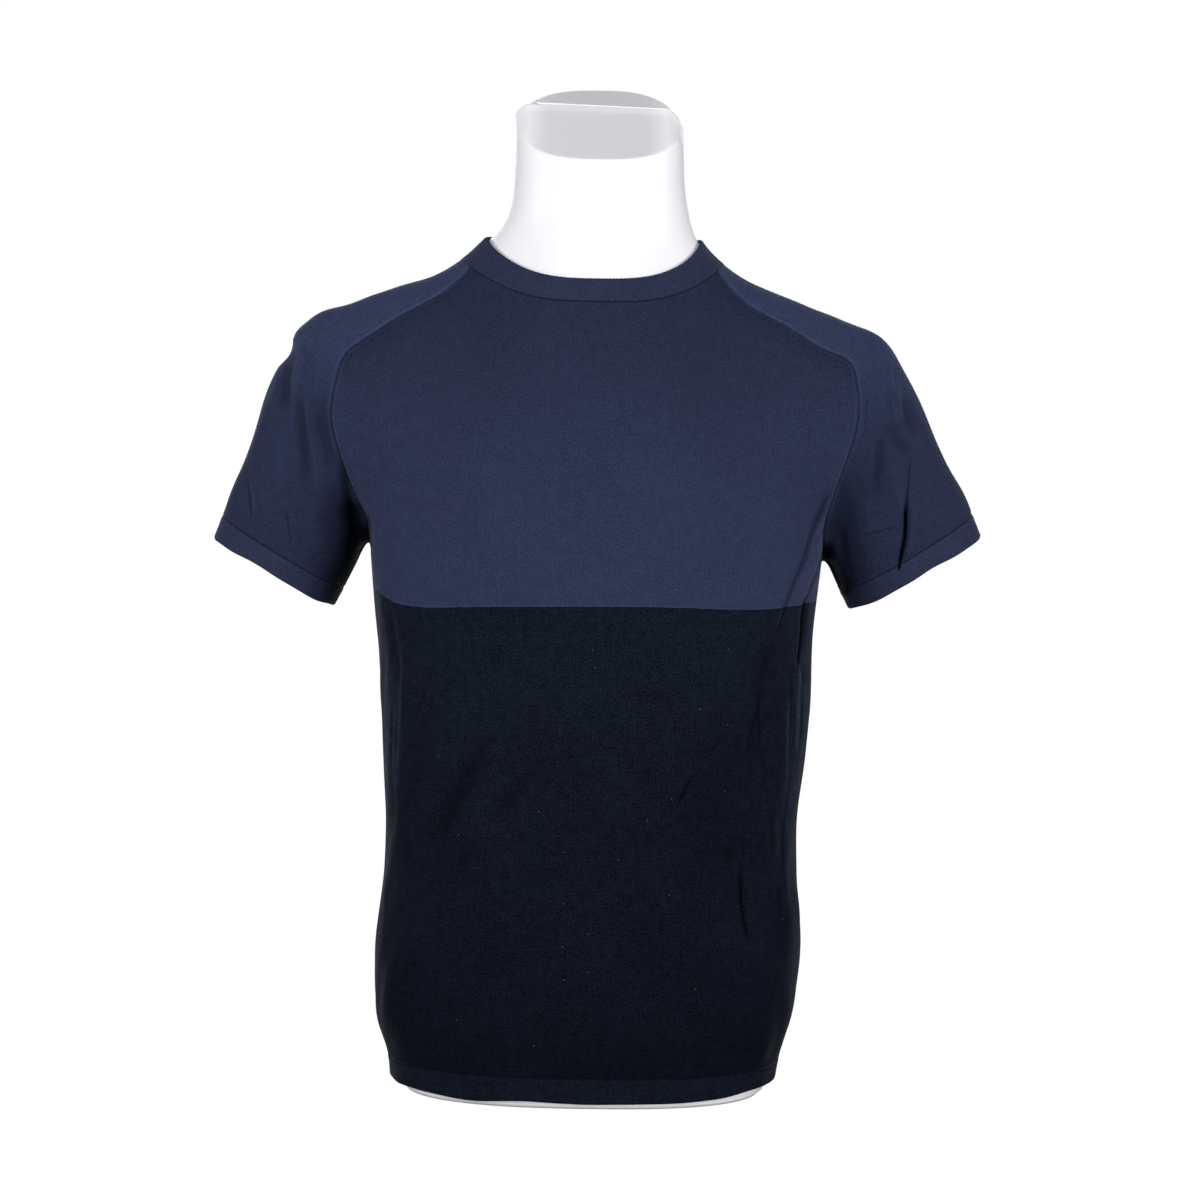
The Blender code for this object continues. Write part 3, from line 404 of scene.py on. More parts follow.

# Folds fade this near to the sides, and reach this many half widths out.  The painted shade or highlight
# of one narrower than the widest fine line is drawn by the yarn's material, which needs its neighbours to
# know of it this far out, and its trough is no narrower than the grid can hold.
FOLD_SIDE_FADE = 0.016
FOLD_STEPS = 7
FOLD_REACH, SOFT_REACH, FINE_LINE_KNOWN = 3, 2, 1.6
FINE_LINE = 0.0022
FINE_LINE_REACH = 0.0026
FINE_LINE_FADE = 0.0009
FINE_LINE_FAR = 8.0
FINE_LINE_PROFILE = (0.3, 1.5)
LEAST_TROUGH = 0.0015
FINE_KINDS = ("crease", "crown")

# Painted shade and highlight: the yarn's tone at each height, on the body darker towards the hem and
# towards the neck, on the sleeves darker low and lighter over the shoulder
NAVY_PAINTED_SHADE = [
    # z     tone
    (0.380, 1.00),
    (0.440, 0.96),
    (0.500, 0.89),
    (0.560, 0.76),
    (0.610, 0.72),
]
NIGHT_PAINTED_SHADE = [
    (0.030, 0.50),
    (0.070, 0.61),
    (0.150, 0.74),
    (0.220, 0.80),
    (0.300, 0.92),
    (0.370, 1.00),
]
SLEEVE_PAINTED_LIGHT = [
    (0.380, 0.80),
    (0.440, 0.84),
    (0.500, 0.88),
    (0.540, 1.02),
    (0.570, 1.25),
    (0.640, 1.30),
]

# Slack: soft random waves, longer up and down than across, with more of them low on the body
SLACK_WAVES = 26
SLACK_ACROSS = (0.022, 0.075)
SLACK_UP = (0.060, 0.240)
SLACK_CHEST, SLACK_WAIST, SLACK_SLEEVE = 0.00022, 0.00055, 0.00045
SLACK_WAIST_Z, SLACK_ARM_X = (0.22, 0.44), (0.14, 0.20)
SLACK_SEED = 11

# Folds and slack die away this near to a seam, a band, the neckline and a cuff
STILL_AT_SEAM = 0.007
STILL_AT_BAND = 0.010
STILL_AT_NECK = 0.016
STILL_AT_CUFF = 0.0045
STILL_IN_BAND = 0.006

# The bands' uneven free edges: each wave's height, its count round the band and where it starts
HEM_WAVES = [(0.0006, 3, 0.7), (0.0004, 7, 2.1)]
COLLAR_WAVES = [(0.00016, 173, 0.0), (0.00014, 241, 1.0)]
CUFF_WAVES = [(0.0006, 4, 0.5), (0.0003, 9, 0.0)]

# Painted shade: under the shoulders the body's yarn is drawn darker beside the raglan seams
SHOULDER_SHADE = 0.16
SHOULDER_SHADE_REACH = 0.026
SHOULDER_SHADE_FROM = (0.535, 0.570)

# Seams: the edge rolls in, and the allowance under it lifts a ridge beside it.  A raglan seam runs into the
# side seam over this stretch of height at the armpit, and points this near to a seam know their run along it.
SEAM_ROLL = {"raglan": 0.00050, "side": 0.00035, "band": 0.00032}
SEAM_RIDGE = {"raglan": 0.00040, "side": 0.00018, "band": 0.00014}
ROLL_REACH = 0.0010
RIDGE_AT = 0.0027
RIDGE_REACH = 0.0013
SIDE_TO_RAGLAN = np.array([-0.012, 0.020])
SEAM_STRIP = 0.03
NO_SEAM = -0.01

# A free edge is rounded over no more than this share of its half wall, and a wall's edge shades sharp
EDGE_ROUND_MOST = 0.85
SHARP_DEGREES = 62
MERGE_DISTANCE = 1e-5

# The colour change lies level, pulled off its level a little at the sides of the front
COLOUR_CHANGE_Z = 0.3785
COLOUR_RISE_REACH = 0.10
COLOUR_RISE_FROM = (-0.01, 0.01)
COLOUR_RISE = [
    # x      rise
    (-0.1680, 0.0085),
    (-0.1590, 0.0020),
    (-0.1500, -0.0020),
    (-0.1380, -0.0040),
    (-0.0950, -0.0025),
    (-0.0600, -0.0010),
    (0.0000, 0.0003),
    (0.0700, 0.0000),
    (0.1200, -0.0018),
    (0.1500, -0.0010),
    (0.1680, 0.0000),
]

# The dress form: its clearance, its shoulders cut off and rounded, and the rings that it is made of
FORM_CLEARANCE = [
    # z     inside the cloth's outer face
    (0.000, 0.0060),
    (0.080, 0.0060),
    (0.180, 0.0090),
    (0.260, 0.0100),
    (0.400, 0.0066),
    (0.450, 0.0068),
    (0.500, 0.0058),
    (0.550, 0.0040),
    (0.600, 0.0032),
    (0.640, 0.0028),
    (0.680, 0.0024),
    (0.780, 0.0024),
]
FORM_SHOULDER_X = 0.166
FORM_SHOULDER_TURN = math.radians(20)
FORM_SHOULDER_ROUND = 0.016
FORM_FIRST_RING_Z = 0.015
FORM_HIDDEN_RINGS = 34
FORM_NECK_RINGS = 26
FORM_NECK_FROM_Z = 0.585
FORM_COLUMNS = 256
BASE_CHAMFER = 0.003

# The cap over its neck: a front facet up to a tilted ridge with a curled lip, a domed back facet, and
# rounded corners and rim
NECK_FRONT_RIM_Z = 0.708
NECK_RIDGE_Z = 0.7497
NECK_RIDGE_TILT = -0.033
NECK_CENTRE_X = -0.0020
NECK_HALF_WIDTH = 0.0636
NECK_BACK_RIM_Z = 0.766
NECK_REACH = 0.062
NECK_CORNER_WIDTH = 0.0130
NECK_CORNER_DROP = 0.016
NECK_CORNER_ROUND = 0.95
NECK_CORNER_FADE_Y = (-0.055, -0.015)
DOME_CENTRE_X = -0.001
DOME_REACH = 0.050
DOME_DROP = 0.0058
DOME_FROM_RIDGE = 0.020
RIM_PASSES = 8
CAP_RINGS = 26
RIDGE_CURL = 0.0013
RIDGE_CURL_REACH = 0.0065
RIM_BEVEL = 0.0011
RIM_FIRST_INSET, RIM_DROP = 0.3, 0.4

# The raised parting line along the ridge
PARTING_FROM_X, PARTING_TO_X = -0.048, 0.053
PARTING_HALF_WIDTH = 0.0007
PARTING_HEIGHT = 0.0005
PARTING_SUNK = 0.0001
PARTING_STEPS, PARTING_ROWS = 60, 4

# Colours of the yarns and of the form
NAVY = (0.0240, 0.0308, 0.0680)
# The sleeves' navy is the body's navy drawn darker, painted shade for sleeves set back from the light
SHADED_NAVY_SLEEVE = (0.0215, 0.0282, 0.0620)
NAVY_RIB = (0.0218, 0.0280, 0.0590)
NIGHT = (0.0052, 0.0077, 0.0148)
NIGHT_RIB = (0.0046, 0.0068, 0.0130)
LINT = (0.30, 0.33, 0.40)
PLASTIC = (0.82, 0.82, 0.86)

# The cap is drawn duller than the neck, partly a greyer plastic and partly painted shade on its upturned
# facets, with a painted highlight beside its ridge and less of the grey behind it and towards its corners.
# The neck carries a little painted shade on the wearer's right.
CAP_GREY_AND_SHADE = 0.33
RIDGE_PAINTED_HIGHLIGHT, CAP_BAND_REACH = 0.17, 0.009
CAP_CORNER_LIGHT, CAP_CORNER = 0.80, (0.034, 0.060)
CAP_BACK_LIGHT = 0.60
NECK_SIDE_PAINTED_SHADE, NECK_SIDE = 0.16, (0.026, 0.050)

# The form's plastic: noises as scale, detail and roughness, and the steps that they are read by.  A pair
# named for a tone or a roughness is what a height is multiplied by and what is then added.
PLASTIC_CLOUDS, PLASTIC_CLOUD_TONE = (14.0, 3.0), 0.035
PLASTIC_GRAIN, PLASTIC_GRAIN_TONE = (900.0, 2.0), (0.012, 0.975)
PLASTIC_SCUFFS, PLASTIC_SCUFF_STEP = (160.0, 4.0, 0.7), (0.35, 0.70, 0.42, 0.52)
PLASTIC_SPECULAR = 0.4
PLASTIC_BUMP, PLASTIC_RELIEF = 0.05, 0.0002

# The knitting: columns of stitches this far apart, rows this far apart, and how they show and catch light
JERSEY_WALE, JERSEY_COURSE = 0.00105, 0.00080
RIB_WALE, RIB_COURSE = 0.00110, 0.00085
RIB_PITCH, RIB_HEIGHT = 0.0022, 0.35
STITCH_SLANT, STITCH_CROWN, STITCH_DIP = 0.9, 0.7, 0.45
STITCH_TONE = (0.24, 0.86)
KNIT_BUMP, KNIT_RELIEF = 0.5, 0.00018
KNIT_ROUGHNESS = (-0.10, 0.92)
KNIT_SURFACE = {
    "Specular IOR Level": 0.03,
    "Sheen Weight": 0.09,
    "Sheen Roughness": 0.25,
    "Sheen Tint": (0.80, 0.86, 1.00, 1),
}
YARN_GRAIN, YARN_GRAIN_HEIGHT = (1500.0, 1100.0, 2.0), 0.5
YARN_MOTTLE = [
    # across  up     detail roughness share: heather, faint rows, faint columns, clouds small and large
    (760.0, 680.0, 2.0, 0.70, 0.50),
    (60.0, 1250.0, 1.0, 0.50, 0.07),
    (900.0, 60.0, 1.0, 0.50, 0.07),
    (150.0, 120.0, 3.0, 0.50, 0.12),
    (17.0, 12.0, 2.0, 0.50, 0.07),
]
NAVY_MOTTLE, NIGHT_MOTTLE = 1.6, 4.0

# Lint: the share of places that hold a fleck in each yarn
NAVY_LINT, NIGHT_LINT = 0.02, 0.12
LINT_SPACING, LINT_SIZE, LINT_CORE, LINT_STRENGTH = 0.020, 0.00048, 0.6, 0.24

# The colour change wanders by less than a stitch, and the navy's first row over it shows lighter
CHANGE_WANDER_FINE, CHANGE_WANDER, CHANGE_SOFT = 700.0, 0.0003, 0.00015
FIRST_ROW, FIRST_ROW_CHANGE = (0.0002, 0.0009, 0.0002), 0.22

# How seams show in the yarn's tone: a painted highlight on the crest beside a raglan seam, a dark furrow
# along every long seam, partly its own seam line and partly painted shade in its groove, and a stitched
# line at a band, each over its distance from the seam and broken up along it
CREST_BAND, CREST_FROM_RUN, CREST_PAINTED_HIGHLIGHT = (0.0015, 0.0024, 0.0006), (-0.004, 0.004), 0.24
FURROW_STEP, FURROW_CHANGE = (0.0002, 0.0012, 1.0, 0.0), -0.34
FURROW_UNEVEN, FURROW_UNEVEN_STEP = 420.0, (0.40, 0.60, 0.35, 1.0)
STITCHED_STEP = (0.0002, 0.0007, 1.0, 0.0)
STITCHED_UNEVEN, STITCHED_UNEVEN_STEP = 230.0, (0.40, 0.58, 0.60, 1.0)
SEAM_LINE = {"body": 0.42, "sleeve": 0.72, "rib": 0.60}

# Marks beside the raglan seams: from full to none over these shares of their size, across and along
MARK_ACROSS, MARK_ALONG = (0.5, 1.0), (0.6, 1.2)
MARKS_FADE, MARKS_CHANGE = 0.01, -0.62
MARKS_UNEVEN, MARKS_UNEVEN_STEP = 130.0, (0.35, 0.62, 0.15, 1.0)
BODY_MARKS = [
    # from the seam  spacing  from run  to run  size
    (0.0046, 0.0052, 0.180, 0.300, 0.0007),
]
SLEEVE_MARKS = [
    (0.0062, 0.0050, 0.100, 0.165, 0.0007),
    (0.0040, 0.0060, 0.190, 0.290, 0.0006),
]

# The studio
FLOOR_HALF, FLOOR_SEEN = 20.0, 1.0
FLOOR_SURFACE = {"Base Color": (0.20, 0.20, 0.20, 1), "Roughness": 0.9, "Specular IOR Level": 0.0}
SURROUND_SEEN, SURROUND_LIGHT = 1.0, 0.30
SOFTBOXES = [
    # name            place                 target             size        power
    ("front_softbox", (0.1, -4.4, 0.85), (0.0, 0.0, 0.40), (2.2, 1.8), 138),
    ("right_softbox", (-3.26, -1.52, 0.85), (0.0, 0.0, 0.40), (1.6, 1.8), 84),
    ("left_softbox", (3.26, -1.52, 0.85), (0.0, 0.0, 0.40), (1.6, 1.8), 84),
    ("back_softbox", (-0.5, 4.2, 1.0), (0.0, 0.0, 0.45), (3.0, 2.0), 130),
    ("top_softbox", (0.0, 0.5, 3.2), (0.0, 0.0, 0.45), (1.8, 1.8), 32),
]
CAMERA_PLACE = (0.0055, -3.0, 0.604)
CAMERA_PITCH = math.atan(298 / 3900)
CAMERA_ROLL = math.radians(0.9)
CAMERA_LENS, CAMERA_SENSOR, CAMERA_FAR = 117.75, 36, 100


# ---------------------------------------------------------------- smooth tables

def spline_bends(keys, values):
    """Second derivatives of the natural cubic spline through the points."""
    count = len(keys)
    step = np.diff(keys)
    rise = np.diff(values) / step
    matrix = np.eye(count)
    right_side = np.zeros(count)
    for i in range(1, count - 1):
        matrix[i, i - 1:i + 2] = step[i - 1], 2 * (step[i - 1] + step[i]), step[i]
        right_side[i] = 6 * (rise[i] - rise[i - 1])
    return np.linalg.solve(matrix, right_side)


def make_curve(keys, values):
    """A function that reads the natural cubic spline through the points, held level past its ends."""
    keys, values = np.asarray(keys, float), np.asarray(values, float)
    bends = spline_bends(keys, values)

    def read(at):
        at = np.clip(at, keys[0], keys[-1])
        k = np.clip(np.searchsorted(keys, at, side="right") - 1, 0, len(keys) - 2)
        width = keys[k + 1] - keys[k]
        b = (at - keys[k]) / width
        a = 1 - b
        bend = (a ** 3 - a) * bends[k] + (b ** 3 - b) * bends[k + 1]
        return a * values[k] + b * values[k + 1] + bend * width ** 2 / 6

    return read


def make_curves(table):
    """One curve for each column after the first."""
    columns = list(zip(*table))
    return [make_curve(columns[0], column) for column in columns[1:]]


TORSO_CURVES = make_curves(TORSO)
SLEEVE_CURVES = {side: make_curves(table) for side, table in SLEEVE.items()}
CLEARANCE_CURVE = make_curves(FORM_CLEARANCE)[0]
PAINTED_LIGHT_CURVES = {"body": make_curves(NIGHT_PAINTED_SHADE + NAVY_PAINTED_SHADE)[0], "sleeve": make_curves(SLEEVE_PAINTED_LIGHT)[0]}


def ramp(value, start, end):
    """0 before start, 1 past end, smooth between."""
    share = np.clip((value - start) / (end - start), 0, 1)
    return share * share * (3 - 2 * share)


# ---------------------------------------------------------------- the cloth's outer face as a field

def oval_field(u, v, half_u, half_v, square):
    """Negative inside a squared oval, about metres from it near its edge."""
    ratio = (np.abs(u / half_u) ** square + np.abs(v / half_v) ** square) ** (1 / square)
    return (ratio - 1) * np.minimum(half_u, half_v)


def torso_field(points):
    x, y, z = points[..., 0], points[..., 1], points[..., 2]
    right, left, front, back, square = (curve(z) for curve in TORSO_CURVES)
    return oval_field(x, y, np.where(x < 0, right, left), np.where(y < 0, front, back), square)


def arm_start(side):
    """How far along the sleeve the arm's straight part begins."""
    return PIVOT_X[side] + ARM_TURN[side] * (REACH_AT_SHOULDER + REACH_AT_ARM) / 2


def sleeve_place(side, points):
    """How far each point lies along the sleeve, and its height over the pivot in its section there."""
    x = points[..., 0] * side - PIVOT_X[side]
    z = points[..., 2] - PIVOT_Z[side]
    turn = ARM_TURN[side]
    angle = np.arctan2(x, z)
    inboard = x < 0
    on_arm = (angle > turn) & ~inboard
    fan = angle * (REACH_AT_SHOULDER - (REACH_AT_SHOULDER - REACH_AT_ARM) * angle / (2 * turn))
    along_arm = x * math.cos(turn) - z * math.sin(turn)
    along = np.where(on_arm, arm_start(side) + along_arm, PIVOT_X[side] + np.where(inboard, x, fan))
    over_arm = x * math.sin(turn) + z * math.cos(turn)
    height = np.where(inboard, z, np.where(on_arm, over_arm, np.hypot(x, z)))
    return along, height


def sleeve_axes(side, along):
    """The section there: a point on the pivot line and the direction of its height."""
    turn = ARM_TURN[side]
    reach_loss = (REACH_AT_SHOULDER - REACH_AT_ARM) / (2 * turn)
    past_pivot = np.clip(along, PIVOT_X[side], arm_start(side)) - PIVOT_X[side]
    root = np.sqrt(REACH_AT_SHOULDER ** 2 - 4 * reach_loss * past_pivot)
    angle = (REACH_AT_SHOULDER - root) / (2 * reach_loss)
    inboard = np.minimum(along - PIVOT_X[side], 0)
    down_arm = np.maximum(along - arm_start(side), 0)
    x = PIVOT_X[side] + inboard + down_arm * math.cos(turn)
    z = PIVOT_Z[side] - down_arm * math.sin(turn)
    start = np.stack([x * side, 0 * x, z + 0 * x], -1)
    up = np.stack([np.sin(angle) * side, 0 * angle, np.cos(angle)], -1)
    return start, up


def sleeve_field(side, points):
    along, height = sleeve_place(side, points)
    top, bottom, front, back, square = (curve(along) for curve in SLEEVE_CURVES[side])
    y = points[..., 1]
    wide = np.where(y < 0, front, back)
    field = oval_field(height - (top + bottom) / 2, y, (top - bottom) / 2, wide, square)
    return np.maximum(field, SLEEVE_START - along)


def soft_union(a, b, width):
    overlap = np.maximum(width - np.abs(a - b), 0) / width
    return np.minimum(a, b) - overlap ** 2 * width / 4


def cloth_field(points):
    shoulder = ramp(points[..., 2], BLEND_FROM_Z, BLEND_TO_Z)
    width = BLEND_ARMPIT + (BLEND_SHOULDER - BLEND_ARMPIT) * shoulder
    body = soft_union(torso_field(points), sleeve_field(RIGHT, points), width)
    return soft_union(body, sleeve_field(LEFT, points), width)


def field_normals(points):
    """Unit directions in which the cloth's field grows."""
    moves = np.eye(3) * NORMAL_STEP
    grown = np.stack([cloth_field(points + move) - cloth_field(points - move) for move in moves], -1)
    return grown / np.linalg.norm(grown, axis=-1, keepdims=True)


def cast(starts, directions, field=cloth_field, steps=CAST_STEPS):
    """The first crossings of the field's zero, going out from inside points."""
    starts, directions = np.broadcast_arrays(np.asarray(starts, float), np.asarray(directions, float))
    directions = directions / np.linalg.norm(directions, axis=-1, keepdims=True)
    near = np.zeros(starts.shape[:-1])
    far = np.full(starts.shape[:-1], CAST_REACH)
    open_rays = np.ones(starts.shape[:-1], bool)
    for distance in np.linspace(0, CAST_REACH, steps + 1)[1:]:
        outside = field(starts + directions * distance) > 0
        far = np.where(open_rays & outside, distance, far)
        open_rays &= ~outside
        near = np.where(open_rays, distance, near)
    for _ in range(CAST_HALVINGS):
        middle = (near + far) / 2
        outside = field(starts + directions * middle[..., None]) > 0
        far = np.where(outside, middle, far)
        near = np.where(outside, near, middle)
    return starts + directions * near[..., None]


def crowded(count, at_start=True, at_end=True, busy=()):
    """Shares from 0 to 1 that crowd towards the ends, and round each busy (middle, width, extra)."""
    at = np.linspace(0, 1, CROWD_POINTS)
    crowd = 1 + EDGE_CROWD * (at_start * np.exp(-at / EDGE_REACH) + at_end * np.exp((at - 1) / EDGE_REACH))
    for middle, width, extra in busy:
        crowd += extra * np.exp(-((at - middle) / width) ** 2)
    travelled = np.concatenate([[0], np.cumsum((crowd[1:] + crowd[:-1]) / 2)])
    return np.interp(np.linspace(0, travelled[-1], count + 1), travelled, at)


# ---------------------------------------------------------------- seams and edges

def level_directions(angles):
    """Level directions at these angles round from the front; negative angles lie to the wearer's right."""
    return np.stack([np.sin(angles), -np.cos(angles), 0 * angles], -1)


def neckline_z(angles):
    sine = np.abs(np.sin(angles))
    front = NECK_FRONT_Z + (NECK_SIDE_Z - NECK_FRONT_Z) * sine ** NECKLINE_POWER
    back = NECK_BACK_Z + (NECK_SIDE_Z - NECK_BACK_Z) * sine ** 2
    return np.where(np.cos(angles) > 0, front, back)


def cast_level(angles, heights, steps=CAST_STEPS):
    """Points of the cloth at these angles round the middle and at these heights."""
    angles, heights = np.broadcast_arrays(np.asarray(angles, float), np.asarray(heights, float))
    starts = np.stack([0 * angles, 0 * angles, heights], -1)
    return cast(starts, level_directions(angles), steps=steps)


def raglan_seam(side, face, shares):
    """Points of the raglan seam at these shares of the way from the armpit to the neckline."""
    corner_angle = side * math.radians(NECK_CORNER[face])
    corner = cast_level(corner_angle, neckline_z(corner_angle))
    corner_turn = math.atan2(corner[1] * face, SEAM_CENTRE_Z - corner[2])
    outs = [out for out, _ in RAGLAN[side]] + [abs(corner[0])]
    turns = [math.radians(degrees) for _, degrees in RAGLAN[side]] + [corner_turn]
    keys = np.arange(len(outs))
    out_curve, turn_curve = make_curve(keys, outs), make_curve(keys, turns)

    def points_at(places):
        out, turn = out_curve(places), turn_curve(places)
        starts = np.stack([out * side, 0 * out, np.full_like(out, SEAM_CENTRE_Z)], -1)
        ways = np.stack([0 * out, face * np.sin(turn), -np.cos(turn)], -1)
        return cast(starts, ways)

    fine = np.linspace(0, keys[-1], SEAM_FINE_POINTS)
    lengths = np.linalg.norm(np.diff(points_at(fine), axis=0), axis=1)
    travelled = np.concatenate([[0], np.cumsum(lengths)])
    seam = points_at(np.interp(shares * travelled[-1], travelled, fine))
    seam[-1] = corner
    return seam


def line_distance(points, line):
    """How far each point is from a line through points, and how far along the line the nearest place is."""
    nearest = np.full(points.shape[:-1], np.inf)
    along = np.zeros(points.shape[:-1])
    travelled = 0.0
    for start, end in zip(line[:-1], line[1:]):
        run = end - start
        length = np.linalg.norm(run)
        share = np.clip((points - start) @ run / length ** 2, 0, 1)
        distance = np.linalg.norm(points - start - share[..., None] * run, axis=-1)
        closer = distance < nearest
        nearest = np.where(closer, distance, nearest)
        along = np.where(closer, travelled + share * length, along)
        travelled += length
    return nearest, along


def drawn_onto(points):
    """The points moved straight onto the cloth's face, which they lie near."""
    for _ in range(DRAW_PASSES):
        points = points - field_normals(points) * cloth_field(points)[..., None]
    return points


# ---------------------------------------------------------------- folds and slack

def fold_line(places):
    """A smooth line through a fold's places."""
    keys = np.arange(len(places))
    fine = np.linspace(0, keys[-1], FOLD_STEPS * keys[-1] + 1)
    return np.stack([make_curve(keys, column)(fine) for column in np.array(places).T / MILLIMETRES], -1)


def line_side(points, line):
    """Which side of a line each point lies on, judged from the line's nearest stretch: 1 or -1."""
    middles = (line[1:] + line[:-1]) / 2
    nearest = np.argmin(np.linalg.norm(points[:, None] - middles, axis=-1), axis=1)
    away = points - line[:-1][nearest]
    run = np.diff(line, axis=0)[nearest]
    return np.where(run[:, 0] * away[:, 1] > run[:, 1] * away[:, 0], 1.0, -1.0)


def fold_marks(points, folds):
    """How far the folds move each point out of the smooth face, and the painted shade or highlight they lay
    on the yarn there.

    Soft folds are one painted tone for each point.  Fine ones, painted shade along dark creases and painted
    highlights along light crowns, are each a depth and the point's distance from the line in half widths, so
    that a line stays thin between the points.
    """
    lift = np.zeros(points.shape[:-1])
    marks = {"painted_shading": np.ones(lift.shape)}
    for kind in FINE_KINDS:
        marks[f"{kind}_depth"] = np.zeros(lift.shape)
        marks[f"{kind}_off"] = np.full(lift.shape, FINE_LINE_FAR)
    strongest = {kind: np.zeros(lift.shape) for kind in FINE_KINDS}
    places = points[..., [0, 2]]
    for face, half_width, height, edge, shade, line, *fades in folds:
        half_width, height, line = half_width / TENTHS, height / TENTHS, fold_line(line)
        fade_in, fade_out = fades[0] if fades else USUAL_FADES
        trough = max(half_width, LEAST_TROUGH)
        reach = FOLD_REACH * trough
        near = ((places > line.min(0) - reach) & (places < line.max(0) + reach)).all(-1)
        if face:
            near &= points[..., 1] * face > 0
        distance, along = line_distance(places[near], line)
        length = np.linalg.norm(np.diff(line, axis=0), axis=1).sum()
        strength = np.ones(distance.shape)
        if fade_in:
            strength *= ramp(along, 0, fade_in * length)
        if fade_out:
            strength *= 1 - ramp(along, (1 - fade_out) * length, length)
        if face:
            strength *= ramp(points[near][:, 1] * face, 0, FOLD_SIDE_FADE)
        soft = 1 - ramp(distance, 0, SOFT_REACH * trough)
        pressed = np.exp(-distance / trough) * (1 - ramp(distance, trough, reach))
        crosswise = soft * (1 - edge) + pressed * edge
        lift[near] += height * half_width / trough * strength * crosswise
        if half_width > FINE_LINE:
            shaded = 1 - ramp(distance, 0, SOFT_REACH * half_width)
            marks["painted_shading"][near] *= 1 - shade * strength * shaded
            continue
        kind = "crease" if shade > 0 else "crown"
        known = max(FINE_LINE_REACH, FINE_LINE_KNOWN * half_width)
        depth = shade * strength * (1 - ramp(distance, known, known + FINE_LINE_FADE))
        pull = np.abs(shade) * strength / (1 + (distance / half_width) ** 2) * (depth != 0)
        wins = pull > strongest[kind][near]
        spots = tuple(index[wins] for index in np.nonzero(near))
        strongest[kind][spots] = pull[wins]
        marks[f"{kind}_depth"][spots] = depth[wins]
        off = distance * line_side(places[near], line) / half_width
        marks[f"{kind}_off"][spots] = np.clip(off, -FINE_LINE_FAR, FINE_LINE_FAR)[wins]
    return lift, marks


def slack_lift(points, height):
    """Soft random waves of about this height."""
    chance = np.random.default_rng(SLACK_SEED)
    waves = np.zeros(points.shape[:-1])
    for _ in range(SLACK_WAVES):
        across = 2 * math.pi / chance.uniform(*SLACK_ACROSS)
        up = 2 * math.pi / chance.uniform(*SLACK_UP)
        turn = chance.uniform(0, 2 * math.pi)
        way = np.array([across * math.cos(turn), across * math.sin(turn), up * chance.choice([-1, 1])])
        waves += np.sin(points @ way + chance.uniform(0, 2 * math.pi))
    return waves * height / math.sqrt(SLACK_WAVES / 2)


# ---------------------------------------------------------------- grids of the pieces, rows by columns

def body_grid(face):
    """The front or back from the hem seam up: side seams, then raglan seams, then the neckline."""
    busy = CREASED_SIDES if face == FRONT else ()
    share = crowded(BODY_COLUMNS[face], busy=busy)
    rise = crowded(CAP_ROWS, at_start=False)
    right, left = (raglan_seam(side, face, rise) for side in (RIGHT, LEFT))
    middle_angle, turn = (0, math.pi / 2) if face == FRONT else (math.pi, -math.pi / 2)
    lower = crowded(BODY_ROWS, at_end=False)[:-1, None] * (right[0][2] - HEM_SEAM_Z) + HEM_SEAM_Z
    turned = ramp(lower, ROWS_TURN_FROM_Z, ROWS_TURN_TO_Z)
    lower_heights = lower + share * (left[0][2] - right[0][2]) * turned
    lower_angles = middle_angle + turn * (2 * share - 1) + 0 * lower
    start = np.arctan2(right[:, 0], -right[:, 1])[:, None] + (2 * math.pi if face == BACK else 0)
    end = np.arctan2(left[:, 0], -left[:, 1])[:, None]
    upper_angles = start + (end - start) * share
    centre_top = NECK_FRONT_Z if face == FRONT else NECK_BACK_Z
    centre = right[0][2] + (centre_top - right[0][2]) * rise[:, None]
    power = 2 + (NECKLINE_POWER - 2) * rise[:, None]
    end_height = np.where(share < 0.5, right[:, 2, None], left[:, 2, None])
    end_sine = np.abs(np.where(share < 0.5, np.sin(start), np.sin(end)))
    bow = (np.abs(np.sin(upper_angles)) / end_sine) ** power
    upper_heights = centre + (end_height - centre) * bow
    upper_heights[-1] = neckline_z(upper_angles[-1])
    angles, heights = np.vstack([lower_angles, upper_angles]), np.vstack([lower_heights, upper_heights])
    grid = cast_level(angles, heights)
    over_armpit = np.abs(grid[..., 0]) > BODY_MOST_OUT
    grid[over_armpit] = cast_level(angles[over_armpit], heights[over_armpit], FINE_CAST_STEPS)
    grid[BODY_ROWS:, 0], grid[BODY_ROWS:, -1] = right, left
    return grid


def sleeve_sections(side, along, turns):
    """Points of the sleeve at these places along it and angles round from the top, front negative."""
    top, bottom = (curve(along) for curve in SLEEVE_CURVES[side][:2])
    start, up = sleeve_axes(side, along)
    middle = start + up * ((top + bottom) / 2)[..., None]
    ways = up * np.cos(turns)[..., None]
    ways[..., 1] += np.sin(turns)
    return cast(middle, ways)


def section_turn(side, point):
    """The angle of a point round its own section, from the top, front negative."""
    along, height = sleeve_place(side, point)
    top, bottom = (curve(along) for curve in SLEEVE_CURVES[side][:2])
    return along, np.arctan2(point[1], height - (top + bottom) / 2)


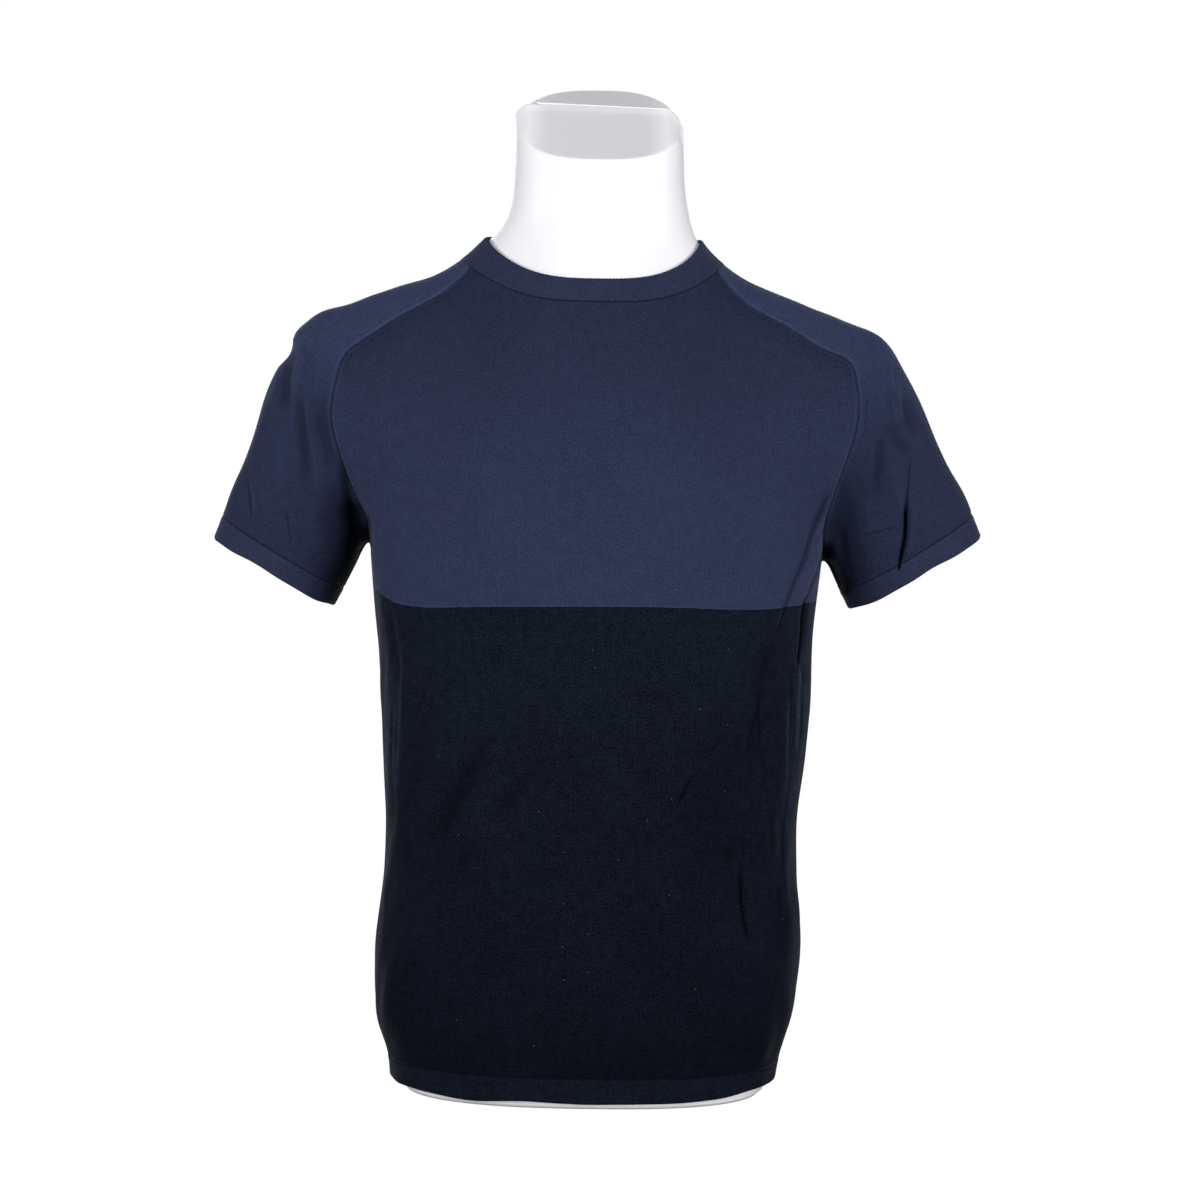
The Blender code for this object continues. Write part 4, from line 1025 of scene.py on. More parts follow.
def sleeve_grid(side):
    """From the neckline, between the raglan seams, then all round the arm to the cuff seam."""
    rise = crowded(CAP_ROWS, at_start=False)
    front, back = raglan_seam(side, FRONT, rise), raglan_seam(side, BACK, rise)
    share = crowded(SLEEVE_COLUMNS)
    armpit_along = float(sleeve_place(side, front[0])[0])
    neck_along = float(sleeve_place(side, front[-1])[0])
    angles = side * np.radians(NECK_CORNER[FRONT] + (NECK_CORNER[BACK] - NECK_CORNER[FRONT]) * share)
    neck_row = cast_level(angles, neckline_z(angles))
    along_rows, turn_rows = [], []
    for k in range(CAP_ROWS - 1, -1, -1):
        front_along, front_turn = section_turn(side, front[k])
        back_along, back_turn = section_turn(side, back[k])
        if k == 0:
            front_turn, back_turn = -math.pi, math.pi
        top_along = armpit_along + (neck_along - armpit_along) * rise[k]
        ends = front_along + (back_along - front_along) * share
        along_rows.append(ends + (top_along - ends) * 4 * share * (1 - share))
        turn_rows.append(front_turn + (back_turn - front_turn) * share)
    turns = 2 * math.pi * share - math.pi
    for down in crowded(TUBE_ROWS, at_start=False)[1:]:
        along_rows.append(armpit_along + (cuff_along(side, turns, 0) - armpit_along) * down)
        turn_rows.append(turns)
    rows = sleeve_sections(side, np.array(along_rows), np.array(turn_rows))
    rows[:CAP_ROWS, 0], rows[:CAP_ROWS, -1] = front[:-1][::-1], back[:-1][::-1]
    strayed = rows[..., 2] < front[0, 2] + ARMPIT_BAND
    strayed &= rows[..., 0] * side < front[0, 0] * side - ARMPIT_MARGIN
    strayed[:CAP_ROWS, [0, -1]] = False
    for k, (row, lost) in enumerate(zip(rows, strayed)):
        period = None if k < CAP_ROWS else 1
        for axis in range(3):
            row[lost, axis] = np.interp(share[lost], share[~lost], row[~lost, axis], period=period)
    rows[strayed] = drawn_onto(rows[strayed])
    return np.concatenate([neck_row[None], rows])


def cuff_along(side, turns, past_seam):
    """How far along the sleeve a line parallel to the cuff seam lies."""
    tilt = -CUFF_TILT[side] * np.cos(turns)
    drop = CUFF_FRONT_DROP[side] * np.maximum(-np.sin(turns), 0)
    return CUFF_SEAM[side] + past_seam + tilt + drop


def cuff_grid(side):
    turns = 2 * math.pi * crowded(SLEEVE_COLUMNS) - math.pi
    past = np.linspace(0, CUFF_DEPTH, BAND_ROWS + 1)[:, None]
    past = past * (1 + CUFF_OUTER_EXTRA * np.maximum(np.cos(turns), 0) ** 2)
    along = cuff_along(side, turns, past)
    return sleeve_sections(side, along, turns + 0 * past)


def angles_round(loop):
    """The angles of a loop's points round the middle, growing once round."""
    return np.unwrap(np.arctan2(loop[:, 0], -loop[:, 1]))


def level_band(loop, edge_heights):
    """Rows from a loop's points to an edge at these heights, on the cloth's face."""
    share = np.linspace(0, 1, BAND_ROWS + 1)[1:, None]
    angles = angles_round(loop)
    rows = cast_level(angles + 0 * share, loop[:, 2] + (edge_heights - loop[:, 2]) * share)
    return np.concatenate([loop[None], rows])


def hem_grid(front, back):
    """The hem band, from the body's lowest points down to its own edge."""
    loop = np.concatenate([front[0], back[0][::-1][1:]])
    rise = make_curves(HEM_FRONT_RISE)[0](loop[:, 0]) * ramp(-loop[:, 1], *HEM_FRONT_FROM)
    sides = np.sin(angles_round(loop)) ** HEM_SIDE_POWER
    return level_band(loop, HEM_EDGE_Z + HEM_SIDE_RISE * sides + rise)


def collar_grid(front, back, sleeves):
    """The neckband, from the neckline's points up to its own edge."""
    left, right = sleeves[LEFT][0], sleeves[RIGHT][0][::-1]
    loop = np.concatenate([front[-1], left[1:], back[-1][::-1][1:], right[1:]])
    angles = angles_round(loop)
    return level_band(loop, neckline_z(angles) + COLLAR_RISE + COLLAR_SIDE_EXTRA * np.sin(angles) ** 2)


def trim_edge(points, inner, closed):
    """Moves an edge in towards its neighbours by half the seam gap, square to the seam."""
    along = np.gradient(points, axis=0)
    if closed:
        along[0] = along[-1] = points[1] - points[-2]
    along /= np.linalg.norm(along, axis=1, keepdims=True)
    inward = inner - points
    inward -= np.sum(inward * along, axis=1, keepdims=True) * along
    inward /= np.linalg.norm(inward, axis=1, keepdims=True)
    return points + inward * SEAM_GAP / 2


def trimmed(grid, closed_from, free_last_row=False):
    """The grid with its seam edges drawn in.  Rows from closed_from on meet themselves in a tube."""
    result = grid.copy()
    result[0] = trim_edge(grid[0], grid[1], closed_from == 0)
    if not free_last_row:
        result[-1] = trim_edge(grid[-1], grid[-2], closed_from < len(grid))
    for edge, inner in ((0, 1), (-1, -2)):
        moved = trim_edge(grid[:, edge], grid[:, inner], False) - grid[:, edge]
        result[:closed_from, edge] += moved[:closed_from]
    return result


# ---------------------------------------------------------------- where each point lies on its piece

def lengths_along(grid, axis):
    """How far each point lies from the first and from the last line of the grid."""
    steps = np.linalg.norm(np.diff(grid, axis=axis), axis=2)
    from_start = np.insert(np.cumsum(steps, axis=axis), 0, 0, axis=axis)
    return from_start, np.take(from_start, [-1], axis=axis) - from_start


def row_map(grid, heights, middle):
    """The cloth's own map in metres: across from the middle column, and up its wales."""
    from_start, _ = lengths_along(grid, 1)
    return np.stack([from_start - from_start[:, middle, None], heights], -1)


def edge_seams(grid, seam_rows):
    """Each point's distance from the nearer side edge, and how far along a raglan seam it lies.

    seam_rows are the rows whose edges are raglan seams, from the armpit up; elsewhere along is negative.
    """
    from_start, from_end = lengths_along(grid, 1)
    distance = np.minimum(from_start, from_end)
    along = np.full(distance.shape, NO_SEAM)
    half = grid.shape[1] // 2
    for columns, edge in ((slice(0, half), 0), (slice(half, None), -1)):
        strip = seam_rows, columns
        near = distance[strip] < SEAM_STRIP
        distance[strip][near], along[strip][near] = line_distance(grid[strip][near], grid[seam_rows, edge])
    return distance, along


def seam_strength(grid, armpit_z, table):
    """A seam's strength at each row: its raglan value above the armpit and its side value below it."""
    above = ramp(grid[:, 0, 2], *(armpit_z + SIDE_TO_RAGLAN))[:, None]
    return table["side"] + (table["raglan"] - table["side"]) * above


def seam_lift(distance, roll, ridge):
    """The roll and the ridge beside a seam, at these distances from it."""
    rolled = roll * np.exp(-(distance / ROLL_REACH) ** 2)
    return ridge * np.exp(-((distance - RIDGE_AT) / RIDGE_REACH) ** 2) - rolled


# ---------------------------------------------------------------- from grids to cloth

def make_cloth(name, base, outer_lift, inner_lift, cloth_map, marks, material, closed_from):
    """A closed wall on a grid of points, with its outer and inner faces this far out of them."""
    rows, columns = base.shape[:2]
    flat = base.reshape(-1, 3)
    normals = field_normals(flat)
    outer = flat + normals * outer_lift.reshape(-1, 1)
    inner = flat + normals * inner_lift.reshape(-1, 1)
    flat_map = cloth_map.reshape(-1, 2)
    bm = bmesh.new()
    bmesh.ops.create_grid(bm, x_segments=columns - 1, y_segments=rows - 1, size=0.5)
    place = bm.verts.layers.int.new("place")
    layers = {key: bm.verts.layers.float.new(key) for key in marks}
    for vert in bm.verts:
        column = round((vert.co.x + 0.5) * (columns - 1))
        row = round((vert.co.y + 0.5) * (rows - 1))
        spot = row * columns + column
        vert[place] = spot
        vert.co = outer[spot]
        for key, layer in layers.items():
            vert[layer] = marks[key][row, column]
    uv = bm.loops.layers.uv.new("cloth")
    for face in bm.faces:
        for loop in face.loops:
            loop[uv].uv = flat_map[loop.vert[place]]
    bm.normal_update()
    facing = sum(face.normal.dot(normals[face.verts[0][place]]) for face in bm.faces)
    if facing < 0:
        bmesh.ops.reverse_faces(bm, faces=bm.faces)
    if closed_from < rows:
        tube = [vert for vert in bm.verts if vert[place] // columns >= closed_from]
        ends = [vert for vert in tube if vert[place] % columns in (0, columns - 1)]
        bmesh.ops.remove_doubles(bm, verts=ends, dist=MERGE_DISTANCE)
    for vert in extruded(bm):
        vert.co = inner[vert[place]]
    return finish(name, bm, material)


def add_object(name, data):
    made = bpy.data.objects.new(name, data)
    bpy.context.scene.collection.objects.link(made)
    return made


def extruded(bm):
    """Extrudes every face and gives the new vertices."""
    made = bmesh.ops.extrude_face_region(bm, geom=list(bm.faces))
    return [item for item in made["geom"] if isinstance(item, bmesh.types.BMVert)]


def finish(name, bm, material):
    """Writes the mesh to a named object with its material, smooth except at its walls' edges."""
    bmesh.ops.recalc_face_normals(bm, faces=bm.faces)
    mesh = bpy.data.meshes.new(name)
    bm.to_mesh(mesh)
    bm.free()
    mesh.shade_smooth()
    mesh.set_sharp_from_angle(angle=math.radians(SHARP_DEGREES))
    mesh.materials.append(material)
    return add_object(name, mesh)


def colour_rise(points):
    """How far the colour change is pulled up off its level, by the way the body's sides hang."""
    front = make_curves(COLOUR_RISE)[0](points[..., 0])
    near = np.exp(-((points[..., 2] - COLOUR_CHANGE_Z) / COLOUR_RISE_REACH) ** 2)
    return front * near * ramp(-points[..., 1], *COLOUR_RISE_FROM)


def make_panel(name, base, closed_from, armpit_z, seams, ends, folds, tone, slack, cloth_map, material):
    """A jersey panel: its folds and slack, which die away near its edges, and the rolls along its seams.

    seams are each point's distance from the side edges and its run along them.  ends are its distances from
    the first and last edges, each with the reach within which folds and slack are still.
    """
    distance, along = seams
    lift, marks = fold_marks(base, folds)
    # tone is painted light and shade by height, laid over the folds' painted shading
    marks["painted_shading"] *= tone
    still = ramp(distance, 0, STILL_AT_SEAM)
    for from_end, reach in ends:
        still = still * ramp(from_end, 0, reach)
    shape = lift * still + slack_lift(base, 1.0) * slack * still
    roll, ridge = (seam_strength(base, armpit_z, table) for table in (SEAM_ROLL, SEAM_RIDGE))
    band_out = np.minimum(ends[0][0], ends[1][0])
    bands = seam_lift(band_out, SEAM_ROLL["band"], SEAM_RIDGE["band"])
    outer = shape + seam_lift(distance, roll, ridge) + bands
    marks |= {"seam_out": distance, "seam_run": along, "band_out": band_out}
    return make_cloth(name, base, outer, shape - JERSEY_WALL, cloth_map, marks, material, closed_from)


def make_body(face, grid, material):
    """The front or back panel; its map's middle is the column that faces straight forwards or back."""
    base = trimmed(grid, len(grid))
    height = base[..., 2]
    seams = edge_seams(base, slice(BODY_ROWS, None))
    from_hem, from_neck = lengths_along(base, 0)
    ends = (from_hem, STILL_AT_BAND), (from_neck, STILL_AT_NECK)
    # Painted shade beside the raglan seams under the shoulders
    shoulder = (1 - ramp(seams[0], 0, SHOULDER_SHADE_REACH)) * ramp(height, *SHOULDER_SHADE_FROM)
    # Painted shade by height, times the painted shade beside the shoulders' seams
    tone = PAINTED_LIGHT_CURVES["body"](height) * (1 - SHOULDER_SHADE * shoulder)
    slack = SLACK_CHEST + (SLACK_WAIST - SLACK_CHEST) * (1 - ramp(height, *SLACK_WAIST_Z))
    angles = angles_round(grid[0])
    middle = int(np.argmin(np.abs(angles - (0 if face == FRONT else angles.mean()))))
    cloth_map = row_map(base, height - colour_rise(base), middle)
    return make_panel(f"{FACE_NAME[face]}_panel", base, len(grid), grid[BODY_ROWS, 0, 2], seams, ends,
                      BODY_FOLDS, tone, slack, cloth_map, material)


def make_sleeve(side, grid, material):
    """A sleeve panel, whose map runs down its length from the neckline."""
    base = trimmed(grid, CAP_ROWS)
    seams = [part[::-1] for part in edge_seams(base[::-1], slice(TUBE_ROWS, None))]
    from_neck, from_cuff = lengths_along(base, 0)
    ends = (from_cuff, STILL_AT_CUFF), (from_neck, STILL_AT_NECK)
    slack = SLACK_CHEST + (SLACK_SLEEVE - SLACK_CHEST) * ramp(np.abs(base[..., 0]), *SLACK_ARM_X)
    cloth_map = row_map(base, -sleeve_place(side, base)[0], SLEEVE_COLUMNS // 2)
    # The sleeve's tone by height is painted light: lighter over the shoulder, darker low on the arm
    return make_panel(f"sleeve_{SIDE_NAME[side]}_panel", base, CAP_ROWS, grid[CAP_ROWS, 0, 2], seams, ends,
                      SLEEVE_FOLDS[side], PAINTED_LIGHT_CURVES["sleeve"](base[..., 2]), slack, cloth_map, material)


def make_band(name, grid, material, waves, growth=1, angles=None, folds=()):
    """A ribbed band, closed round, whose free edge is rounded and a little uneven.

    The waves grow from the seam to the edge; the folds of the band's neighbour lay their painted shade on it.
    """
    base = trimmed(grid, 0, free_last_row=True)
    if angles is None:
        angles = np.arctan2(base[..., 0], -base[..., 1])
    share = np.linspace(0, 1, len(base))[:, None] ** growth
    base[..., 2] += share * sum(height * np.sin(count * angles + start) for height, count, start in waves)
    from_seam, from_edge = lengths_along(base, 0)
    half_wall = RIB_WALL / 2
    inside = np.maximum(half_wall - from_edge, 0)
    rounding = np.minimum(half_wall - np.sqrt(half_wall ** 2 - inside ** 2), EDGE_ROUND_MOST * half_wall)
    slack = slack_lift(base, SLACK_CHEST) * ramp(from_seam, 0, STILL_IN_BAND)
    outer = RIB_PROUD + slack - rounding + seam_lift(from_seam, SEAM_ROLL["band"], SEAM_RIDGE["band"])
    inner = RIB_PROUD + slack - RIB_WALL + rounding
    cloth_map = row_map(base, from_edge, 0)
    _, marks = fold_marks(base, folds)
    marks |= {"seam_out": from_seam, "seam_run": np.full(from_seam.shape, NO_SEAM), "band_out": from_seam}
    return make_cloth(name, base, outer, inner, cloth_map, marks, material, 0)


# ---------------------------------------------------------------- the dress form

def form_field(points):
    """The form: inside the cloth by its clearance, cut off at each shoulder."""
    body = cloth_field(points) + CLEARANCE_CURVE(points[..., 2])
    for side in (RIGHT, LEFT):
        out = points[..., 0] * side - FORM_SHOULDER_X
        above = np.maximum(points[..., 2] - PIVOT_Z[side], 0)
        beyond = out * math.cos(FORM_SHOULDER_TURN) - above * math.sin(FORM_SHOULDER_TURN)
        body = -soft_union(-body, -beyond, FORM_SHOULDER_ROUND)
    return body


def cap_height(x, y):
    """The cap over the neck: a steep front facet that curls up at the parting ridge, a domed back one."""
    ridge = NECK_RIDGE_Z + NECK_RIDGE_TILT * x
    front = ridge + (ridge - NECK_FRONT_RIM_Z) * y / NECK_REACH
    front += RIDGE_CURL * ramp(y, -RIDGE_CURL_REACH, 0)
    dome = DOME_DROP * (np.abs(x - DOME_CENTRE_X) / DOME_REACH) ** 3 * ramp(y, 0, DOME_FROM_RIDGE)
    back = ridge + (NECK_BACK_RIM_Z - ridge) * y / NECK_REACH - dome
    corner_from = NECK_HALF_WIDTH - NECK_CORNER_WIDTH
    corner = np.clip((np.abs(x - NECK_CENTRE_X) - corner_from) / NECK_CORNER_WIDTH, 0, 1)
    rounded = 1 - np.sqrt(1 - NECK_CORNER_ROUND * corner ** 2)
    drop = NECK_CORNER_DROP * rounded * ramp(y, *NECK_CORNER_FADE_Y)
    return np.where(y <= 0, front, back) - drop


def form_rings():
    """Rings of the form from the base up to the neck's rim, then in over the cap."""
    angles = np.linspace(0, 2 * math.pi, FORM_COLUMNS, endpoint=False)
    ways = level_directions(angles)

    def rings_at(heights):
        heights = np.broadcast_to(heights, (len(heights), FORM_COLUMNS))
        starts = np.stack([0 * heights, 0 * heights, heights], -1)
        return cast(starts, ways[None] + 0 * starts, field=form_field)

    rim = rings_at(np.full((1, 1), NECK_FRONT_RIM_Z))
    for _ in range(RIM_PASSES):
        rim = rings_at(cap_height(rim[..., 0], rim[..., 1]))
    rim_z = rim[0, :, 2]
    hidden = np.linspace(FORM_FIRST_RING_Z, FORM_NECK_FROM_Z, FORM_HIDDEN_RINGS)[:-1]
    hidden = np.concatenate([[0, BASE_CHAMFER], hidden])
    share = crowded(FORM_NECK_RINGS, at_start=False)[:, None]
    neck = FORM_NECK_FROM_Z + (rim_z - RIM_BEVEL - FORM_NECK_FROM_Z) * share
    rings = list(rings_at(hidden[:, None])) + list(rings_at(neck))
    rings[0] -= ways * BASE_CHAMFER
    for inset in (RIM_BEVEL * RIM_FIRST_INSET, RIM_BEVEL):
        ring = rim[0] - ways * inset
        ring[:, 2] = cap_height(ring[:, 0], ring[:, 1]) - (RIM_BEVEL - inset) * RIM_DROP
        rings.append(ring)
    last = rings[-1]
    for share in np.linspace(1, 0, CAP_RINGS + 1)[1:-1]:
        ring = last * share
        ring[:, 2] = cap_height(ring[:, 0], ring[:, 1])
        rings.append(ring)
    return rings


def make_form(material):
    """The form: its rings bridged, its base and the middle of its cap filled."""
    bm = bmesh.new()
    loops = []
    for ring in form_rings():
        verts = [bm.verts.new(point) for point in ring]
        loops.append([bm.edges.new((verts[k - 1], verts[k])) for k in range(len(verts))])
    # The cap attribute: painted shade down the neck's right side, and over the cap a greyer plastic with
    # painted shade, eased by a painted highlight beside the ridge and towards its corners and back
    cap = bm.verts.layers.float.new("cap")
    for vert in bm.verts:
        vert[cap] = NECK_SIDE_PAINTED_SHADE * ramp(-vert.co.x, *NECK_SIDE)
    for loop in loops[-CAP_RINGS:]:
        for vert in {vert for edge in loop for vert in edge.verts}:
            corner = ramp(abs(vert.co.x - NECK_CENTRE_X), *CAP_CORNER)
            band = RIDGE_PAINTED_HIGHLIGHT * math.exp(-(vert.co.y / CAP_BAND_REACH) ** 2)
            behind = ramp(vert.co.y, 0, CAP_BAND_REACH)
            vert[cap] = (1 - band) * (1 - CAP_CORNER_LIGHT * corner) * (1 - CAP_BACK_LIGHT * behind)
    for lower, upper in zip(loops, loops[1:]):
        bmesh.ops.bridge_loops(bm, edges=lower + upper)
    bmesh.ops.holes_fill(bm, edges=loops[0], sides=0)
    centre = bm.verts.new((0, 0, cap_height(np.zeros(1), np.zeros(1))[0]))
    centre[cap] = 1 - RIDGE_PAINTED_HIGHLIGHT
    for edge in loops[-1]:
        bm.faces.new((edge.verts[0], edge.verts[1], centre))
    return finish("form_shell", bm, material)


def make_parting(material):
    """The thin raised line along the parting ridge of the cap."""
    bm = bmesh.new()
    bmesh.ops.create_grid(bm, x_segments=PARTING_STEPS, y_segments=PARTING_ROWS, size=0.5)
    for vert in bm.verts:
        across = vert.co.y * 2
        x = PARTING_FROM_X + (PARTING_TO_X - PARTING_FROM_X) * (vert.co.x + 0.5)
        y = across * PARTING_HALF_WIDTH
        crest = PARTING_HEIGHT * math.sqrt(max(1 - across ** 2, 0))
        top = float(cap_height(np.array([x]), np.array([y]))[0])
        vert.co = (x, y, top - PARTING_SUNK + crest)
    bm.normal_update()
    if sum(face.normal.z for face in bm.faces) < 0:
        bmesh.ops.reverse_faces(bm, faces=bm.faces)
    for vert in extruded(bm):
        vert.co.z -= PARTING_SUNK
    return finish("form_parting_line", bm, material)


# ---------------------------------------------------------------- materials

class Finish:
    """A material whose nodes are added and linked by name."""

    def __init__(self, name):
        self.material = bpy.data.materials.new(name)
        self.material.use_nodes = True
        self.tree = self.material.node_tree
        self.shader = self.tree.nodes["Principled BSDF"]

    def put(self, socket, value):
        if isinstance(value, bpy.types.NodeSocket):
            self.tree.links.new(value, socket)
        else:
            socket.default_value = value

    def node(self, kind, settings=None, **values):
        made = self.tree.nodes.new(kind)
        for key, value in (settings or {}).items():
            setattr(made, key, value)
        for key, value in values.items():
            self.put(made.inputs[key], value)
        return made

    def number(self, operation, *values):
        made = self.node("ShaderNodeMath", {"operation": operation})
        for socket, value in zip(made.inputs, values):
            self.put(socket, value)
        return made.outputs[0]

    def step(self, value, start, end, low=0.0, high=1.0):
        """low before start, high past end, smooth between."""
        made = self.node("ShaderNodeMapRange", {"interpolation_type": "SMOOTHSTEP"})
        keys = ("Value", "From Min", "From Max", "To Min", "To Max")
        for key, number in zip(keys, (value, start, end, low, high)):
            self.put(made.inputs[key], number)
        return made.outputs["Result"]

    def attribute(self, name):
        return self.node("ShaderNodeAttribute", {"attribute_name": name}).outputs["Fac"]

    def place(self, x, y, z=0.0):
        return self.node("ShaderNodeCombineXYZ", X=x, Y=y, Z=z).outputs[0]

    def noise(self, vector, scale, detail=2.0, roughness=0.5):
        made = self.node("ShaderNodeTexNoise", Scale=scale, Detail=detail, Roughness=roughness, Vector=vector)
        return made.outputs["Fac"]

    def cloth_noise(self, across, up, fine_across, fine_up, detail, roughness=0.5):
        """Noise on the cloth's map, this fine each way."""
        place = self.place(self.product(across, fine_across), self.product(up, fine_up))
        return self.noise(place, 1.0, detail, roughness)

    def line_noise(self, along, fine, detail=1.0):
        """Noise along a line, this fine."""
        return self.noise(self.place(self.product(along, fine), 0.0), 1.0, detail)

    def changed(self, factor, mask, change):
        """The factor, raised by this share where the mask is 1, or lowered if negative."""
        return self.product(factor, self.number("MULTIPLY_ADD", mask, change, 1.0))

    def mix(self, share, first, second):
        made = self.node("ShaderNodeMix", {"data_type": "RGBA"})
        for index, value in ((0, share), (6, first), (7, second)):
            self.put(made.inputs[index], (*value, 1) if isinstance(value, tuple) else value)
        return made.outputs[2]

    def scaled(self, colour, factor):
        made = self.node("ShaderNodeVectorMath", {"operation": "SCALE"})
        self.put(made.inputs[0], colour)
        self.put(made.inputs["Scale"], factor)
        return made.outputs[0]

    def product(self, *values):
        total = values[0]
        for value in values[1:]:
            total = self.number("MULTIPLY", total, value)
        return total

    def surface(self, values):
        """Values that are the same all over, on the shader's own sockets."""
        for key, value in values.items():
            self.shader.inputs[key].default_value = value

    def relief(self, height, strength, distance):
        bump = self.node("ShaderNodeBump", Strength=strength, Distance=distance, Height=height)
        self.put(self.shader.inputs["Normal"], bump.outputs[0])


def cloth_place(finish_of):
    """Across and up on the cloth's own map, in metres."""
    split = finish_of.node("ShaderNodeSeparateXYZ")
    finish_of.put(split.inputs[0], finish_of.node("ShaderNodeUVMap", {"uv_map": "cloth"}).outputs[0])
    return split.outputs[0], split.outputs[1]


def stitch_height(f, across, up, wale, course):
    """The face of plain knitting: columns of small Vs, 0 in the furrows and about 1 on the yarn."""
    column = f.number("DIVIDE", f.number("PINGPONG", across, wale / 2), wale / 2)
    slanted = f.number("ADD", up, f.number("MULTIPLY", column, course * STITCH_SLANT))
    yarn = f.number("SINE", f.number("MULTIPLY", slanted, 2 * math.pi / course))
    yarn = f.number("MULTIPLY_ADD", yarn, 0.5, 0.5)
    crown = f.step(column, 0.0, STITCH_CROWN)
    return f.product(crown, f.number("MULTIPLY_ADD", yarn, STITCH_DIP, 1 - STITCH_DIP))


def yarn_tone(f, across, up):
    """The mottle of the yarn, round 0."""
    total = -sum(share for *_, share in YARN_MOTTLE)
    for *noise, share in YARN_MOTTLE:
        total = f.number("MULTIPLY_ADD", f.cloth_noise(across, up, *noise), 2 * share, total)
    return total


def specks(f, across, up, share):
    """Sparse round flecks of lint: 1 inside one, 0 elsewhere."""
    cells = f.node("ShaderNodeTexVoronoi", {"voronoi_dimensions": "2D"}, Scale=1 / LINT_SPACING)
    f.put(cells.inputs["Vector"], f.place(across, up))
    radius = LINT_SIZE / LINT_SPACING
    near = f.step(cells.outputs["Distance"], radius * LINT_CORE, radius, 1.0, 0.0)
    chosen = f.node("ShaderNodeSeparateColor")
    f.put(chosen.inputs[0], cells.outputs["Color"])
    return f.product(near, f.number("LESS_THAN", chosen.outputs[0], share))


def band_between(f, value, start, end, soft):
    """1 between start and end, falling away softly past them."""
    return f.product(f.step(value, start - soft, start), f.step(value, end, end + soft, 1.0, 0.0))


def fine_lines(f, kind):
    """What the painted shade of the fine creases or the painted highlight of the crowns leaves of the yarn's
    tone.
    """
    profile = f.step(f.number("ABSOLUTE", f.attribute(f"{kind}_off")), *FINE_LINE_PROFILE, 1.0, 0.0)
    return f.number("MULTIPLY_ADD", f.product(profile, f.attribute(f"{kind}_depth")), -1.0, 1.0)


def seam_marks(f, out, run, rows):
    """Rows of small marks where stitches were carried over beside a raglan seam: 1 on a mark."""
    total = 0.0
    for away, spacing, start, end, size in rows:
        off = f.number("ABSOLUTE", f.number("SUBTRACT", out, away))
        across = f.step(off, size * MARK_ACROSS[0], size * MARK_ACROSS[1], 1.0, 0.0)
        phase = f.number("PINGPONG", run, spacing / 2)
        dot = f.step(phase, size * MARK_ALONG[0], size * MARK_ALONG[1], 1.0, 0.0)
        shown = band_between(f, run, start, end, MARKS_FADE)
        total = f.number("MAXIMUM", total, f.product(across, dot, shown))
    return f.product(total, f.step(f.line_noise(run, MARKS_UNEVEN, 2.0), *MARKS_UNEVEN_STEP))


def colour_change(f, across, up):
    """0 in the dark yarn and 1 in the navy, and the navy's first row, which shows a little lighter."""
    wander = f.line_noise(across, CHANGE_WANDER_FINE)
    edge = f.number("MULTIPLY_ADD", wander, CHANGE_WANDER, COLOUR_CHANGE_Z - CHANGE_WANDER / 2)
    over = f.number("SUBTRACT", up, edge)
    return f.step(over, -CHANGE_SOFT, CHANGE_SOFT), band_between(f, over, *FIRST_ROW)


def seam_shades(f, factor, seam_line, marks, ribbed, across):
    """The tone with its seams: marks, painted highlights on the crests and dark furrows beside the long ones,
    stitching at the bands.
    """
    out, run = f.attribute("seam_out"), f.attribute("seam_run")
    if marks:
        factor = f.changed(factor, seam_marks(f, out, run, marks), MARKS_CHANGE)
    if not ribbed:
        crest = f.product(band_between(f, out, *CREST_BAND), f.step(run, *CREST_FROM_RUN))
        factor = f.changed(factor, crest, CREST_PAINTED_HIGHLIGHT)
    broken = f.step(f.line_noise(run, FURROW_UNEVEN), *FURROW_UNEVEN_STEP)
    factor = f.changed(factor, f.product(f.step(out, *FURROW_STEP), broken), FURROW_CHANGE)
    stitched = f.step(f.attribute("band_out"), *STITCHED_STEP)
    gaps = f.step(f.line_noise(across, STITCHED_UNEVEN), *STITCHED_UNEVEN_STEP)
    return f.changed(factor, f.product(stitched, gaps), -seam_line)


